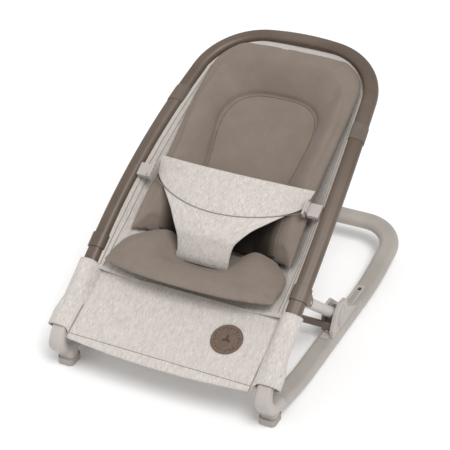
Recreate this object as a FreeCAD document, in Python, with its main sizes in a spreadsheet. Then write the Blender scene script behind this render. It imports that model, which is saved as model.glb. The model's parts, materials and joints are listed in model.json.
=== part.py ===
"""Baby bouncer seat: a rocker base, a reclining tube frame and its fabric seat.

X runs across the seat, Y from the feet end to the head end and Z up.  The
origin lies on the floor, under the middle of the whole object.  Positions
along Y are written as stations, counted from the centre of the front elbow
bend, and turned into Y by one shift.  Lengths are millimetres.
"""
import FreeCAD, Part
import Sketcher
import math
import os

V = FreeCAD.Vector
X_AXIS = V(1, 0, 0)
DOC = FreeCAD.newDocument("BouncerSeat")

# ---------------------------------------------------------------- driving sizes
DRIVING = {
    # base loop
    "half_span": (193.0, "side rail centre from the middle plane"),
    "rail_width": (36.0, "flat oval rail tube, across"),
    "rail_thick": (19.0, "flat oval rail tube, up"),
    "wall": (1.5, "wall of both tubes"),
    "rail_height": (12.5, "centre of the flat stretch of a rail above the floor"),
    "rail_front_slope": (13.0, "degrees the rail drops behind the elbow"),
    "rail_rear_slope": (13.0, "degrees the rail climbs to the rear bar"),
    "rail_bend_front": (500.0, "radius of the front rail bend"),
    "rail_bend_rear": (400.0, "radius of the rear rail bend"),
    "rear_bar_station": (584.5, "rear bar centre, from the elbow centre"),
    "rear_bar_height": (47.0, "rear bar centre above the floor"),
    "rear_corner": (66.0, "corner radius of the base loop"),
    "elbow_height": (60.0, "elbow bend centre above the floor"),
    "elbow_bend": (24.0, "centreline radius of the elbow bend"),
    "elbow_tail": (27.0, "straight of the elbow that takes the rail"),
    "foot_width": (30.0, "front foot across"),
    "foot_length": (34.0, "front foot along"),
    "foot_height": (13.0, "front foot sole"),
    "foot_offset": (4.0, "foot centre inboard of the rail centre"),
    "pad_length": (110.0, "grip strip under a rail"),
    "pad_width": (14.0, "grip strip under a rail"),
    # seat frame
    "seat_half_span": (188.4, "seat tube at the elbow, from the middle plane"),
    "lower_angle": (35.6, "degrees of the seat's lower part"),
    "back_angle": (24.2, "degrees of the back"),
    "lower_length": (341.0, "elbow to the middle of the side tubes' bend"),
    "back_length": (303.0, "middle of the bend to the top corner"),
    "seat_bend": (1535.0, "radius of the side tube bend"),
    "top_half_span": (154.3, "top corner from the middle"),
    "top_corner": (116.5, "top corner radius"),
    "top_rise": (21.6, "crown of the top bar"),
    "top_bend": (455.0, "radius in the middle of the top bar"),
    "tube_width": (27.4, "flat oval seat tube, across"),
    "tube_thick": (20.0, "flat oval seat tube, through"),
    "tube_tilt": (17.0, "degrees the seat tube section leans outward"),
    # seat hinge
    "hinge_reach": (22.0, "hinge pin up the seat tube from the elbow bend"),
    "hinge_pin": (6.0, "hinge pin diameter"),
    "tongue_width": (15.2, "tongue of the seat tube's end"),
    "fork_gap": (16.0, "gap of the elbow's fork"),
    # support leg
    "leg_station": (268.5, "leg pivot on the carriage, from the elbow centre"),
    "leg_height": (48.0, "leg pivot above the floor"),
    "leg_reach": (165.0, "leg pivot up the seat tube from the elbow bend"),
    "leg_drop": (23.5, "leg pivot below the seat tube's centre"),
    "leg_span": (187.5, "leg centre from the middle plane"),
    "leg_diameter": (19.0, "support tube"),
    "leg_pin": (6.0, "leg pin diameter"),
    "ear_gap": (21.0, "gap between a pair of ears that hold a leg"),
    "ear_thick": (4.0, "bracket ear"),
    # carriage
    "carriage_rear": (73.0, "carriage behind the leg pivot"),
    "cheek_front": (38.0, "outer cheek ahead of the leg pivot"),
    "cheek_top": (76.0, "top of the outer cheek above the floor"),
    "cheek_thick": (7.5, "outer cheek"),
    "inner_cheek_thick": (5.5, "inner cheek"),
    "track_width": (16.0, "guide track on the rail"),
    "track_slot": (8.0, "slot of the guide track"),
    "track_thick": (2.0, "guide track above the rail"),
    "track_length": (162.0, "guide track"),
    "track_front": (244.0, "front end of the guide track, station"),
    "latch_hole": (7.0, "hole at the far end of the track"),
    "button_height": (18.0, "release button"),
    "button_depth": (8.0, "release button"),
    "bar_height": (14.0, "release bar"),
    "bar_thick": (5.0, "release bar"),
    "latch_diameter": (5.0, "latch pin"),
    "stop_length": (16.0, "rail stop"),
    # soft parts
    "fabric": (3.0, "thickness of the cover cloth with its lining"),
    "sleeve_start": (40.0, "sleeve above the elbow bend"),
    "sleeve_end": (126.0, "top of the sleeve"),
    "panel_angle": (26.6, "degrees of the front panel"),
    "panel_length": (137.0, "front panel from its hem corners to its top edge"),
    "hem_station": (-31.9, "hem corner, from the elbow centre"),
    "hem_height": (79.1, "hem corner above the floor"),
    "hem_bow": (9.0, "middle of the hem ahead of its corners"),
    "crease_reach": (228.0, "crease between seat and back, up the seat tube"),
    "lumbar_reach": (381.0, "lower back, up the seat tube"),
    "head_reach": (534.0, "head, up the seat tube"),
    "front_depth": (14.0, "seat cloth below the tube at its front edge"),
    "crease_depth": (78.0, "seat cloth below the tube in the crease"),
    "lumbar_depth": (66.0, "seat cloth below the tube at the lower back"),
    "head_depth": (46.0, "seat cloth below the tube at the head"),
    "rim_depth": (14.0, "seat cloth below the tube at its top"),
    "inlay_margin": (30.0, "edge of the inlay inside the tube centre"),
    "inlay_thick": (15.0, "padding of the inlay"),
    "inlay_crest": (14.0, "front of the seat pad above the tube centre"),
    "belt_half_span": (142.0, "end of the belly belt from the middle"),
    "belt_rise": (6.0, "belt ends above the side tubes"),
    "belt_crown": (29.0, "middle of the belt above the side tubes"),
    "belt_thick": (5.0, "belly belt"),
    "belt_width": (46.0, "belly belt at its middle"),
    "crotch_width": (94.0, "crotch strap"),
    "badge_diameter": (56.0, "round patch"),
    "badge_thick": (2.0, "round patch"),
    # running gaps
    "gap": (0.4, "between pieces that move past each other"),
    "soft_gap": (0.4, "between cloth and what it lies against"),
    "pin_gap": (0.06, "round a pin in its hole"),
}

SHEET = DOC.addObject("Spreadsheet::Sheet", "Sizes")


def fill_sheet():
    """Write one row per driving size: its name, its value and what it is."""
    for row, (alias, (number, note)) in enumerate(DRIVING.items(), start=1):
        SHEET.set("A%d" % row, alias)
        SHEET.set("B%d" % row, str(number))
        SHEET.set("C%d" % row, note)
        SHEET.setAlias("B%d" % row, alias)
    DOC.recompute()


fill_sheet()


class Size:
    """A length kept both as a number and as the sheet expression that gives it."""

    def __init__(self, number, text):
        self.number = float(number)
        self.text = text

    def combine(self, sign, other, number):
        text = other.text if isinstance(other, Size) else repr(float(other))
        return Size(number, "(%s %s %s)" % (self.text, sign, text))

    def __add__(self, other):
        return self.combine("+", other, self.number + float(other))

    def __sub__(self, other):
        return self.combine("-", other, self.number - float(other))

    def __mul__(self, other):
        return self.combine("*", other, self.number * float(other))

    def __truediv__(self, other):
        return self.combine("/", other, self.number / float(other))

    def __neg__(self):
        return Size(-self.number, "(-1 * %s)" % self.text)

    def __float__(self):
        return self.number


def size(alias):
    """The sheet cell of that name."""
    return Size(float(SHEET.get(alias)), "Sizes.%s" % alias)


def plain(number):
    """A bare number where a Size is expected."""
    return Size(number, repr(float(number)))


def num(alias):
    """The number in the sheet cell of that name."""
    return float(SHEET.get(alias))


def direction(angle):
    """Unit vector in the YZ plane, that many degrees above +Y."""
    return V(0, math.cos(math.radians(angle)), math.sin(math.radians(angle)))


def normal(angle):
    """Unit vector square to direction(angle), on its upper side."""
    return V(0, -math.sin(math.radians(angle)), math.cos(math.radians(angle)))


# ------------------------------------------------------------------ key points
LOWER = num("lower_angle")
BACK = num("back_angle")
FRONT_SLOPE = num("rail_front_slope")
REAR_SLOPE = num("rail_rear_slope")
HALF_RAIL = num("rail_thick") / 2

# front edge of the hem and rear edge of the rear bar, as stations
PANEL = num("panel_angle")
HEM_FRONT = num("hem_station") - num("hem_bow") * math.cos(math.radians(PANEL))
BAR_REACH = (num("rail_width") - num("rail_thick")) / 2 * math.cos(math.radians(REAR_SLOPE)) + HALF_RAIL
REAR_EDGE = num("rear_bar_station") + BAR_REACH
SHIFT = -(HEM_FRONT + REAR_EDGE) / 2


def at(x, station, height):
    """A point given by its distance across, its station and its height."""
    return V(x, station + SHIFT, height)


ELBOW_CENTRE = at(0, 0, num("elbow_height"))
SEAT_START = ELBOW_CENTRE + normal(LOWER) * num("elbow_bend")
RAIL_START = ELBOW_CENTRE - normal(-FRONT_SLOPE) * num("elbow_bend")
SEAT_MIDDLE = SEAT_START + direction(LOWER) * num("lower_length")
SEAT_CORNER = SEAT_MIDDLE + direction(BACK) * num("back_length")
HINGE = SEAT_START + direction(LOWER) * num("hinge_reach")
LEG_TOP = SEAT_START + direction(LOWER) * num("leg_reach") - normal(LOWER) * num("leg_drop")
LEG_FOOT = at(0, num("leg_station"), num("leg_height"))
RAIL_TOP = num("rail_height") + HALF_RAIL
HINGE_SPAN = (num("half_span") + num("seat_half_span")) / 2

# the side tubes turn inward and flatten in one long bend
LEAN = (num("seat_half_span") - num("top_half_span")) / num("back_length")
BACK_LINE = direction(BACK) * num("back_length") + V(num("top_half_span") - num("seat_half_span"), 0, 0)
BEND = num("seat_bend") * math.tan(direction(LOWER).getAngle(BACK_LINE) / 2)
BEND_START = num("lower_length") - BEND
BEND_END = num("lower_length") + BEND


def tube_span(reach):
    """Distance of a side tube's centre from the middle plane, so far up the seat."""
    if reach <= BEND_START:
        return num("seat_half_span")
    if reach <= BEND_END:
        return num("seat_half_span") - LEAN * (reach - BEND_START) ** 2 / (4 * BEND)
    return num("seat_half_span") - LEAN * (reach - num("lower_length"))


def on_lower(x, reach, lift=0.0):
    """A point beside the lower side tubes: across, up the seat, above the tube centre."""
    return SEAT_START + direction(LOWER) * reach + normal(LOWER) * lift + V(x, 0, 0)


def on_back(x, reach, lift=0.0):
    """The same beside the back, where reach still counts from the elbow bend."""
    beyond = reach - num("lower_length")
    return SEAT_MIDDLE + direction(BACK) * beyond + normal(BACK) * lift + V(x, 0, 0)


def beside_seat(x, reach, lift=0.0):
    """The same anywhere along the side tubes, the bend included."""
    if reach <= BEND_START:
        return on_lower(x, reach, lift)
    if reach >= BEND_END:
        return on_back(x, reach, lift)
    part = (reach - BEND_START) / (2 * BEND)
    low = on_lower(x, BEND_START) * (1 - part) ** 2
    middle = (SEAT_MIDDLE + V(x, 0, 0)) * (2 * part * (1 - part))
    high = on_back(x, BEND_END) * part ** 2
    return low + middle + high + normal(LOWER + (BACK - LOWER) * part) * lift


def on_panel(x, reach, lift=0.0):
    """A point on the front panel: across, up from the hem corners, above its face."""
    corner = at(x, num("hem_station"), num("hem_height"))
    return corner + direction(PANEL) * reach + normal(PANEL) * lift


# --------------------------------------------------------------- shape helpers
def arc_at(before, corner, after, radius):
    """Start, middle and end of the arc that rounds a corner between two lines."""
    back = (before - corner).normalize()
    ahead = (after - corner).normalize()
    half = back.getAngle(ahead) / 2
    tangent = radius / math.tan(half)
    bisector = (back + ahead).normalize()
    centre = corner + bisector * (radius / math.sin(half))
    return corner + back * tangent, centre - bisector * radius, corner + ahead * tangent


def rounded_edges(points, radii, closed=False):
    """Lines through the points, with an arc of the given radius at each corner."""
    count = len(points)
    corners = range(count) if closed else range(1, count - 1)
    arcs = {}
    for index in corners:
        radius = radii[index] if closed else radii[index - 1]
        if radius > 0:
            before = points[index - 1]
            after = points[(index + 1) % count]
            arcs[index] = arc_at(before, points[index], after, radius)
        else:
            arcs[index] = (points[index], None, points[index])
    edges = []
    last = arcs[0][2] if closed else points[0]
    order = list(range(1, count)) + [0] if closed else range(1, count)
    for index in order:
        start, middle, end = arcs.get(index, (points[index], None, points[index]))
        if (start - last).Length > 1e-6:
            edges.append(Part.LineSegment(last, start).toShape())
        if middle is not None:
            edges.append(Part.Arc(start, middle, end).toShape())
        last = end
    return edges


def flat_oval(centre, along, across, width, thick, tilt=0.0):
    """Closed wire of a flat oval section, square to along and wide along across."""
    turn = FreeCAD.Rotation(along, tilt)
    square = along.cross(across).normalize()
    up = turn.multVec(square)
    wide = turn.multVec(square.cross(along).normalize())
    reach = (width - thick) / 2
    half = thick / 2
    corners = [centre + wide * reach + up * half, centre - wide * reach + up * half,
               centre - wide * reach - up * half, centre + wide * reach - up * half]
    ends = [centre - wide * (reach + half), centre + wide * (reach + half)]
    return Part.Wire([
        Part.LineSegment(corners[0], corners[1]).toShape(),
        Part.Arc(corners[1], ends[0], corners[2]).toShape(),
        Part.LineSegment(corners[2], corners[3]).toShape(),
        Part.Arc(corners[3], ends[1], corners[0]).toShape()])


def step_along(shape, edge, distance):
    """Move a shape along one straight or round edge, turning it with the edge."""
    if isinstance(edge.Curve, Part.Circle):
        turn = math.degrees(distance / edge.Curve.Radius)
        shape.rotate(edge.Curve.Center, edge.Curve.Axis, turn)
    else:
        shape.translate(edge.tangentAt(edge.FirstParameter) * distance)


def swept(path, section):
    """Solid bar: a section pushed along straight edges and turned round the arcs."""
    face = Part.Face(section)
    runs = []
    for edge in path:
        if isinstance(edge.Curve, Part.Circle):
            turn = math.degrees(edge.Length / edge.Curve.Radius)
            runs.append(face.revolve(edge.Curve.Center, edge.Curve.Axis, turn))
        else:
            runs.append(face.extrude(edge.tangentAt(edge.FirstParameter) * edge.Length))
        step_along(face, edge, edge.Length)
    return runs[0].fuse(runs[1:]).removeSplitter() if len(runs) > 1 else runs[0]


def prism(points, depth, radii=None):
    """Flat outline, its corners rounded, pushed through depth."""
    radii = radii or [0] * len(points)
    face = Part.Face(Part.Wire(rounded_edges(points, radii, closed=True)))
    return face.extrude(depth)


PARTS = []


def keep(thing, label):
    """Name a finished sub-part; its label names its file."""
    thing.Label = label
    PARTS.append(thing)
    return thing


def feature(label, shape, placement=None):
    """Sub-part whose shape needs Part's own functions."""
    thing = DOC.addObject("Part::Feature", label)
    thing.Shape = shape
    if placement is not None:
        thing.Placement = placement
    return keep(thing, label)


def bind(thing, **sizes):
    """Tie properties to the sheet."""
    for name, value in sizes.items():
        thing.setExpression(name, value.text)


def bound_cylinder(name, radius, height, placement):
    """Part cylinder whose sizes follow the sheet."""
    thing = DOC.addObject("Part::Cylinder", name)
    bind(thing, Radius=radius, Height=height)
    thing.Placement = placement
    return thing


def across(point):
    """Placement that turns a shape's Z axis to lie across the seat, at that point."""
    return FreeCAD.Placement(point, FreeCAD.Rotation(V(0, 1, 0), 90))


def tilted(point, angle):
    """Placement at a point, its Y axis so many degrees above the floor."""
    return FreeCAD.Placement(point, FreeCAD.Rotation(X_AXIS, angle))


def new_body(name):
    """Empty PartDesign body."""
    return DOC.addObject("PartDesign::Body", name)


def outline_sketch(body, name, role, start, outline):
    """Polygon on one of the body's own planes, every corner tied to the sheet."""
    plane = [item for item in body.Origin.OriginFeatures if item.Role == role][0]
    sketch = body.newObject("Sketcher::SketchObject", name)
    sketch.AttachmentSupport = [(plane, "")]
    sketch.MapMode = "FlatFace"
    sketch.setExpression("AttachmentOffset.Base.z", start.text)
    count = len(outline)
    for index in range(count):
        tail = outline[index]
        head = outline[(index + 1) % count]
        first = V(float(tail[0]), float(tail[1]), 0)
        last = V(float(head[0]), float(head[1]), 0)
        sketch.addGeometry(Part.LineSegment(first, last), False)
    for index in range(count):
        sketch.addConstraint(Sketcher.Constraint("Coincident", index, 2, (index + 1) % count, 1))
        for kind, value in zip(("DistanceX", "DistanceY"), outline[index]):
            number = sketch.addConstraint(Sketcher.Constraint(kind, -1, 1, index, 1, float(value)))
            sketch.setExpression("Constraints[%d]" % number, value.text)
    return sketch


def circle_sketch(body, name, role, start, centre, radius):
    """Circle on one of the body's own planes, tied to the sheet."""
    plane = [item for item in body.Origin.OriginFeatures if item.Role == role][0]
    sketch = body.newObject("Sketcher::SketchObject", name)
    sketch.AttachmentSupport = [(plane, "")]
    sketch.MapMode = "FlatFace"
    sketch.setExpression("AttachmentOffset.Base.z", start.text)
    middle = V(float(centre[0]), float(centre[1]), 0)
    sketch.addGeometry(Part.Circle(middle, V(0, 0, 1), float(radius)), False)
    ties = [("DistanceX", centre[0]), ("DistanceY", centre[1])]
    for kind, value in ties:
        number = sketch.addConstraint(Sketcher.Constraint(kind, -1, 1, 0, 3, float(value)))
        sketch.setExpression("Constraints[%d]" % number, value.text)
    number = sketch.addConstraint(Sketcher.Constraint("Radius", 0, float(radius)))
    sketch.setExpression("Constraints[%d]" % number, radius.text)
    return sketch


def pad(body, name, sketch, length):
    """Push a sketch into a solid."""
    thing = body.newObject("PartDesign::Pad", name)
    thing.Profile = sketch
    thing.setExpression("Length", length.text)
    DOC.recompute()
    return thing


def pocket(body, name, sketch, length, reverse=True):
    """Cut a sketch out of the solid; the cut must take something away."""
    before = body.Shape.Volume
    thing = body.newObject("PartDesign::Pocket", name)
    thing.Profile = sketch
    thing.Reversed = reverse
    thing.setExpression("Length", length.text)
    DOC.recompute()
    if body.Shape.Volume > before - 1e-6:
        raise RuntimeError("%s cuts nothing" % name)
    return thing


def fillet(body, name, radius, chosen):
    """Round the edges of the body's tip that the test picks."""
    tip = body.Tip
    names = ["Edge%d" % number for number, edge in enumerate(tip.Shape.Edges, start=1) if chosen(edge)]
    thing = body.newObject("PartDesign::Fillet", name)
    thing.Base = (tip, names)
    thing.setExpression("Radius", radius.text)
    DOC.recompute()
    return thing


def runs_along(edge, axis):
    """Is this a straight edge along that axis?"""
    if not isinstance(edge.Curve, Part.Line):
        return False
    return abs(edge.tangentAt(edge.FirstParameter).dot(axis)) > 0.999


def middle_of(edge):
    """Middle point of an edge."""
    return edge.valueAt((edge.FirstParameter + edge.LastParameter) / 2)


def lies_at(edge, index, value):
    """Do both ends and the middle of the edge have this coordinate?"""
    ends = [edge.valueAt(edge.FirstParameter), middle_of(edge), edge.valueAt(edge.LastParameter)]
    return all(abs(point[index] - value) < 1e-4 for point in ends)


SIDES = {"left": -1, "right": 1}


# ------------------------------------------------------------------- base loop
def base_path(side):
    """Corner points and bend radii of one side of the base, from elbow to bar."""
    x = side * num("half_span")
    seam = RAIL_START + direction(-FRONT_SLOPE) * num("elbow_tail") + V(x, 0, 0)
    run = (seam.z - num("rail_height")) / math.tan(math.radians(FRONT_SLOPE))
    climb = num("rear_bar_height") - num("rail_height")
    back_run = climb / math.tan(math.radians(REAR_SLOPE))
    bar = at(x, num("rear_bar_station"), num("rear_bar_height"))
    points = [seam, V(x, seam.y + run, num("rail_height")), V(x, bar.y - back_run, num("rail_height")), bar]
    return points, [num("rail_bend_front"), num("rail_bend_rear"), num("rear_corner")]


def make_base_tube():
    """Both rails and the rear bar, bent from one tube."""
    left, radii = base_path(-1)
    right, _ = base_path(1)
    points = left + right[::-1]
    edges = rounded_edges(points, radii + radii[::-1])
    along = direction(-FRONT_SLOPE)
    width, thick, wall = num("rail_width"), num("rail_thick"), num("wall")
    solid = swept(edges, flat_oval(left[0], along, X_AXIS, width, thick))
    bore = swept(edges, flat_oval(left[0], along, X_AXIS, width - 2 * wall, thick - 2 * wall))
    hollow = solid.cut(bore)
    for side in SIDES.values():
        hole = at(side * TRACK_SPAN, num("track_front") + num("track_length") - LATCH_HOLE_INSET, RAIL_TOP - 5)
        hollow = hollow.cut(Part.makeCylinder(num("latch_hole") / 2, 10, hole))
    feature("base_tube", hollow)
    return solid


TRACK_SPAN = num("leg_span") + 1.0
LATCH_HOLE_INSET = 10.5
BASE_SOLID = make_base_tube()


def make_elbow(side_name, side):
    """Moulded corner: hinge fork at the top, rail spigot behind, neck for the foot."""
    x = V(side * num("half_span"), 0, 0)
    width, thick = num("rail_width"), num("rail_thick")
    front = ELBOW_CENTRE + direction(180 + (LOWER - FRONT_SLOPE) / 2) * num("elbow_bend")
    seam = RAIL_START + direction(-FRONT_SLOPE) * num("elbow_tail")
    path = [Part.LineSegment(HINGE + x, SEAT_START + x).toShape(),
            Part.Arc(SEAT_START + x, front + x, RAIL_START + x).toShape(),
            Part.LineSegment(RAIL_START + x, seam + x).toShape()]
    shape = swept(path, flat_oval(HINGE + x, -direction(LOWER), X_AXIS, width, thick))
    knuckle = Part.makeCylinder(thick / 2, width - 6, HINGE + x - V(width / 2 - 3, 0, 0), X_AXIS)
    shape = shape.fuse(knuckle)
    inset = num("wall") + num("pin_gap")
    spigot_oval = flat_oval(seam + x, direction(-FRONT_SLOPE), X_AXIS, width - 2 * inset, thick - 2 * inset)
    spigot = Part.Face(spigot_oval).extrude(direction(-FRONT_SLOPE) * RAIL_SPIGOT)
    shape = shape.fuse(spigot)
    half_width, half_length = NECK_WIDTH / 2, NECK_LENGTH / 2
    middle = foot_centre(side)
    corners = [middle + V(sx * half_width, sy * half_length, num("foot_height"))
               for sx, sy in ((-1, -1), (1, -1), (1, 1), (-1, 1))]
    neck = prism(corners, V(0, 0, RAIL_START.z - num("foot_height")), [FOOT_ROUND] * 4)
    shape = shape.fuse(neck)
    reach = thick / 2 + num("gap") + 4
    slot = Part.makeBox(num("fork_gap"), 2 * reach, 3 * thick, V(0, -reach, -1.5 * thick))
    slot.Placement = tilted(HINGE + V(side * HINGE_SPAN - num("fork_gap") / 2, 0, 0), LOWER)
    shape = shape.cut(slot)
    bore = num("hinge_pin") / 2 + num("pin_gap")
    shape = shape.cut(Part.makeCylinder(bore, 2 * width, HINGE + x - V(width, 0, 0), X_AXIS))
    feature("elbow_" + side_name, shape.removeSplitter())


RAIL_SPIGOT = 20.0
SEAT_SPIGOT = 28.0
FOOT_ROUND = 8.0
NECK_WIDTH = num("foot_width") - 2.0
NECK_LENGTH = num("foot_length") - 9.0
FOOT_STATION = 5.5


def foot_centre(side):
    """Middle of a front foot, on the floor."""
    return at(side * (num("half_span") - num("foot_offset")), FOOT_STATION, 0)


def make_foot(side_name, side):
    """Rubber sole under an elbow's neck."""
    body = new_body("front_foot_" + side_name)
    half_width = size("foot_width") / 2
    half_length = size("foot_length") / 2
    outline = [(-half_width, -half_length), (half_width, -half_length),
               (half_width, half_length), (-half_width, half_length)]
    sketch = outline_sketch(body, "FootOutline_" + side_name, "XY_Plane", plain(0), outline)
    pad(body, "FootBlock_" + side_name, sketch, size("foot_height"))
    fillet(body, "FootCorners_" + side_name, plain(FOOT_ROUND), lambda edge: runs_along(edge, V(0, 0, 1)))
    fillet(body, "FootEdge_" + side_name, plain(2.5), lambda edge: lies_at(edge, 2, 0))
    body.Placement = FreeCAD.Placement(foot_centre(side), FreeCAD.Rotation())
    keep(body, "front_foot_" + side_name)


def make_grip_strip(side_name, side):
    """Rubber strip that the flat stretch of a rail rests on."""
    body = new_body("rail_grip_" + side_name)
    half_width = size("pad_width") / 2
    half_length = size("pad_length") / 2
    outline = [(-half_width, -half_length), (half_width, -half_length),
               (half_width, half_length), (-half_width, half_length)]
    sketch = outline_sketch(body, "GripOutline_" + side_name, "XY_Plane", plain(0), outline)
    pad(body, "GripBlock_" + side_name, sketch, size("rail_height") - size("rail_thick") / 2)
    fillet(body, "GripCorners_" + side_name, plain(5), lambda edge: runs_along(edge, V(0, 0, 1)))
    body.Placement = FreeCAD.Placement(at(side * num("half_span"), GRIP_STATION, 0), FreeCAD.Rotation())
    keep(body, "rail_grip_" + side_name)


GRIP_STATION = 300.0


def make_track(side_name, side):
    """Slotted guide let onto the rail, trimmed to the rail's rounded top."""
    body = new_body("TrackBody_" + side_name)
    half = size("track_width") / 2
    outline = [(-half, plain(0)), (half, plain(0)), (half, size("track_length")), (-half, size("track_length"))]
    sketch = outline_sketch(body, "TrackOutline_" + side_name, "XY_Plane", plain(-3), outline)
    pad(body, "TrackBlock_" + side_name, sketch, size("track_thick") + 3)
    fillet(body, "TrackCorners_" + side_name, plain(3), lambda edge: runs_along(edge, V(0, 0, 1)))
    slot = size("track_slot") / 2
    rim = plain(TRACK_RIM)
    far = size("track_length") - rim
    opening = [(-slot, rim), (slot, rim), (slot, far), (-slot, far)]
    cut = outline_sketch(body, "TrackOpening_" + side_name, "XY_Plane", plain(-4), opening)
    pocket(body, "TrackSlot_" + side_name, cut, size("track_thick") + 6)
    fillet(body, "TrackRim_" + side_name, plain(0.7), lambda edge: lies_at(edge, 2, num("track_thick")))
    body.Placement = FreeCAD.Placement(at(side * TRACK_SPAN, num("track_front"), RAIL_TOP), FreeCAD.Rotation())
    trimmed = DOC.addObject("Part::Cut", "guide_track_" + side_name)
    trimmed.Base = body
    trimmed.Tool = BASE_STAND_IN
    keep(trimmed, "guide_track_" + side_name)


TRACK_RIM = 7.0
BASE_STAND_IN = DOC.addObject("Part::Feature", "BaseEnvelope")
BASE_STAND_IN.Shape = BASE_SOLID


def make_stop(side_name, side):
    """Block on the rail that the carriage rests against when the seat is upright."""
    body = new_body("rail_stop_" + side_name)
    half = plain(STOP_WIDTH / 2)
    outline = [(-half, -size("stop_length")), (half, -size("stop_length")), (half, plain(0)), (-half, plain(0))]
    sketch = outline_sketch(body, "StopOutline_" + side_name, "XY_Plane", plain(0), outline)
    pad(body, "StopBlock_" + side_name, sketch, plain(4.5))
    fillet(body, "StopEdges_" + side_name, plain(1.5), lambda edge: lies_at(edge, 2, 4.5))
    rear = num("leg_station") - NOSE_AHEAD - num("gap")
    body.Placement = FreeCAD.Placement(at(side * STOP_SPAN, rear, RAIL_TOP), FreeCAD.Rotation())
    keep(body, "rail_stop_" + side_name)


NOSE_AHEAD = 29.6
STOP_WIDTH = 14.0
STOP_SPAN = num("leg_span") + 3.0


# --------------------------------------------------------------- slide carriage
CARRIAGE_BASE = RAIL_TOP + num("gap")
INNER_FACE = size("leg_span") - size("ear_gap") / 2
OUTER_FACE = size("leg_span") + size("ear_gap") / 2
HUMP_TOP = 50.0
DECK_TOP = 31.0


def height(value):
    """Height above the floor as a sheet-free Size."""
    return plain(value)


def side_start(inner, thick, side):
    """Where a pad that grows along +X starts, for the right or the mirrored left piece."""
    return inner if side > 0 else -(inner + thick)


def make_carriage(side_name, side):
    """Moulded slide: saddle on the rail, cheeks for the leg, bore for the latch pin."""
    body = new_body("carriage_" + side_name)
    low = height(CARRIAGE_BASE)
    rear = size("carriage_rear")
    width = OUTER_FACE - INNER_FACE
    saddle = [(plain(-11), low), (rear, low), (rear, height(CARRIAGE_BASE + 3)),
              (plain(25), height(HUMP_TOP)), (plain(25), height(DECK_TOP)), (plain(-11), height(DECK_TOP))]
    start = side_start(INNER_FACE, width, side)
    sketch = outline_sketch(body, "Saddle_" + side_name, "YZ_Plane", start, saddle)
    pad(body, "SaddlePad_" + side_name, sketch, width)
    thick = size("cheek_thick")
    top = size("cheek_top")
    front = size("cheek_front")
    cheek = [(-front, low), (rear, low), (rear, height(CARRIAGE_BASE + 3)), (plain(27), height(HUMP_TOP)),
             (plain(19), top - 4), (plain(-4), top), (-(front - 14), top - 12), (-front, low + 14)]
    sketch = outline_sketch(body, "Cheek_" + side_name, "YZ_Plane", side_start(OUTER_FACE, thick, side), cheek)
    pad(body, "CheekPad_" + side_name, sketch, thick)
    inner = size("inner_cheek_thick")
    ear = [(plain(-11), low), (rear - 20, low), (rear - 20, height(CARRIAGE_BASE + 12)),
           (plain(22), top - 14), (plain(-4), top - 14), (plain(-11), top - 22)]
    start = side_start(INNER_FACE - inner, inner, side)
    sketch = outline_sketch(body, "InnerCheek_" + side_name, "YZ_Plane", start, ear)
    pad(body, "InnerCheekPad_" + side_name, sketch, inner)
    over = low + size("track_thick")
    nose = [(plain(-NOSE_AHEAD), over), (plain(-NOSE_AHEAD + NOSE), over),
            (plain(-NOSE_AHEAD + NOSE), over + 4), (plain(-NOSE_AHEAD), over + 4)]
    start = side_start(OUTER_FACE - 11, plain(13), side)
    sketch = outline_sketch(body, "StopNose_" + side_name, "YZ_Plane", start, nose)
    pad(body, "StopNosePad_" + side_name, sketch, plain(13))
    channel = size("track_width") / 2 + size("gap")
    middle = plain(side * TRACK_SPAN)
    run = [(middle - channel, plain(-60)), (middle + channel, plain(-60)),
           (middle + channel, rear + 10), (middle - channel, rear + 10)]
    sketch = outline_sketch(body, "Channel_" + side_name, "XY_Plane", height(CARRIAGE_BASE - 1), run)
    pocket(body, "ChannelCut_" + side_name, sketch, size("track_thick") + 1)
    bore = size("latch_diameter") / 2 + size("gap")
    sketch = circle_sketch(body, "LatchBore_" + side_name, "XY_Plane", height(CARRIAGE_BASE - 1),
                           (middle, plain(LATCH_BACK)), bore)
    pocket(body, "LatchBoreCut_" + side_name, sketch, plain(LATCH_BORE))
    outer = side * float(OUTER_FACE + thick)
    fillet(body, "CheekRim_" + side_name, plain(2.2), lambda edge: lies_at(edge, 0, outer)
           and middle_of(edge).z > CARRIAGE_BASE + 0.5)
    body.Placement = FreeCAD.Placement(V(0, LEG_FOOT.y, 0), FreeCAD.Rotation())
    keep(body, "carriage_" + side_name)


NOSE = 3.6
LATCH_BACK = 30.5
LATCH_BORE = 22.0
SPRING_LENGTH = 9.0
SPRING_WIRE = 0.7
SPRING_TURNS = 4
CAP_LONG = 20.0
CAP_SHORT = 12.0
CAP_LEAN = 72.0


def make_cap(side_name, side):
    """Oval cover on the outer cheek, with a sunk ring round its middle."""
    face_x = side * (num("leg_span") + num("ear_gap") / 2 + num("cheek_thick"))
    centre = LEG_FOOT + V(face_x, -3, 1)
    long_axis = direction(CAP_LEAN)

    def oval(grow, start, depth):
        major, minor = CAP_LONG + grow, CAP_SHORT + grow
        base = centre + V(side * start, 0, 0)
        tip = base + long_axis * major
        flank = base + normal(CAP_LEAN) * minor
        edge = Part.Ellipse(tip, flank, base).toShape()
        return Part.Face(Part.Wire(edge)).extrude(V(side * depth, 0, 0))

    shape = oval(0, 0, 1.6).cut(oval(-3, 0.9, 2)).fuse(oval(-4.2, 0.5, 1.0))
    feature("carriage_cap_" + side_name, shape)


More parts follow.
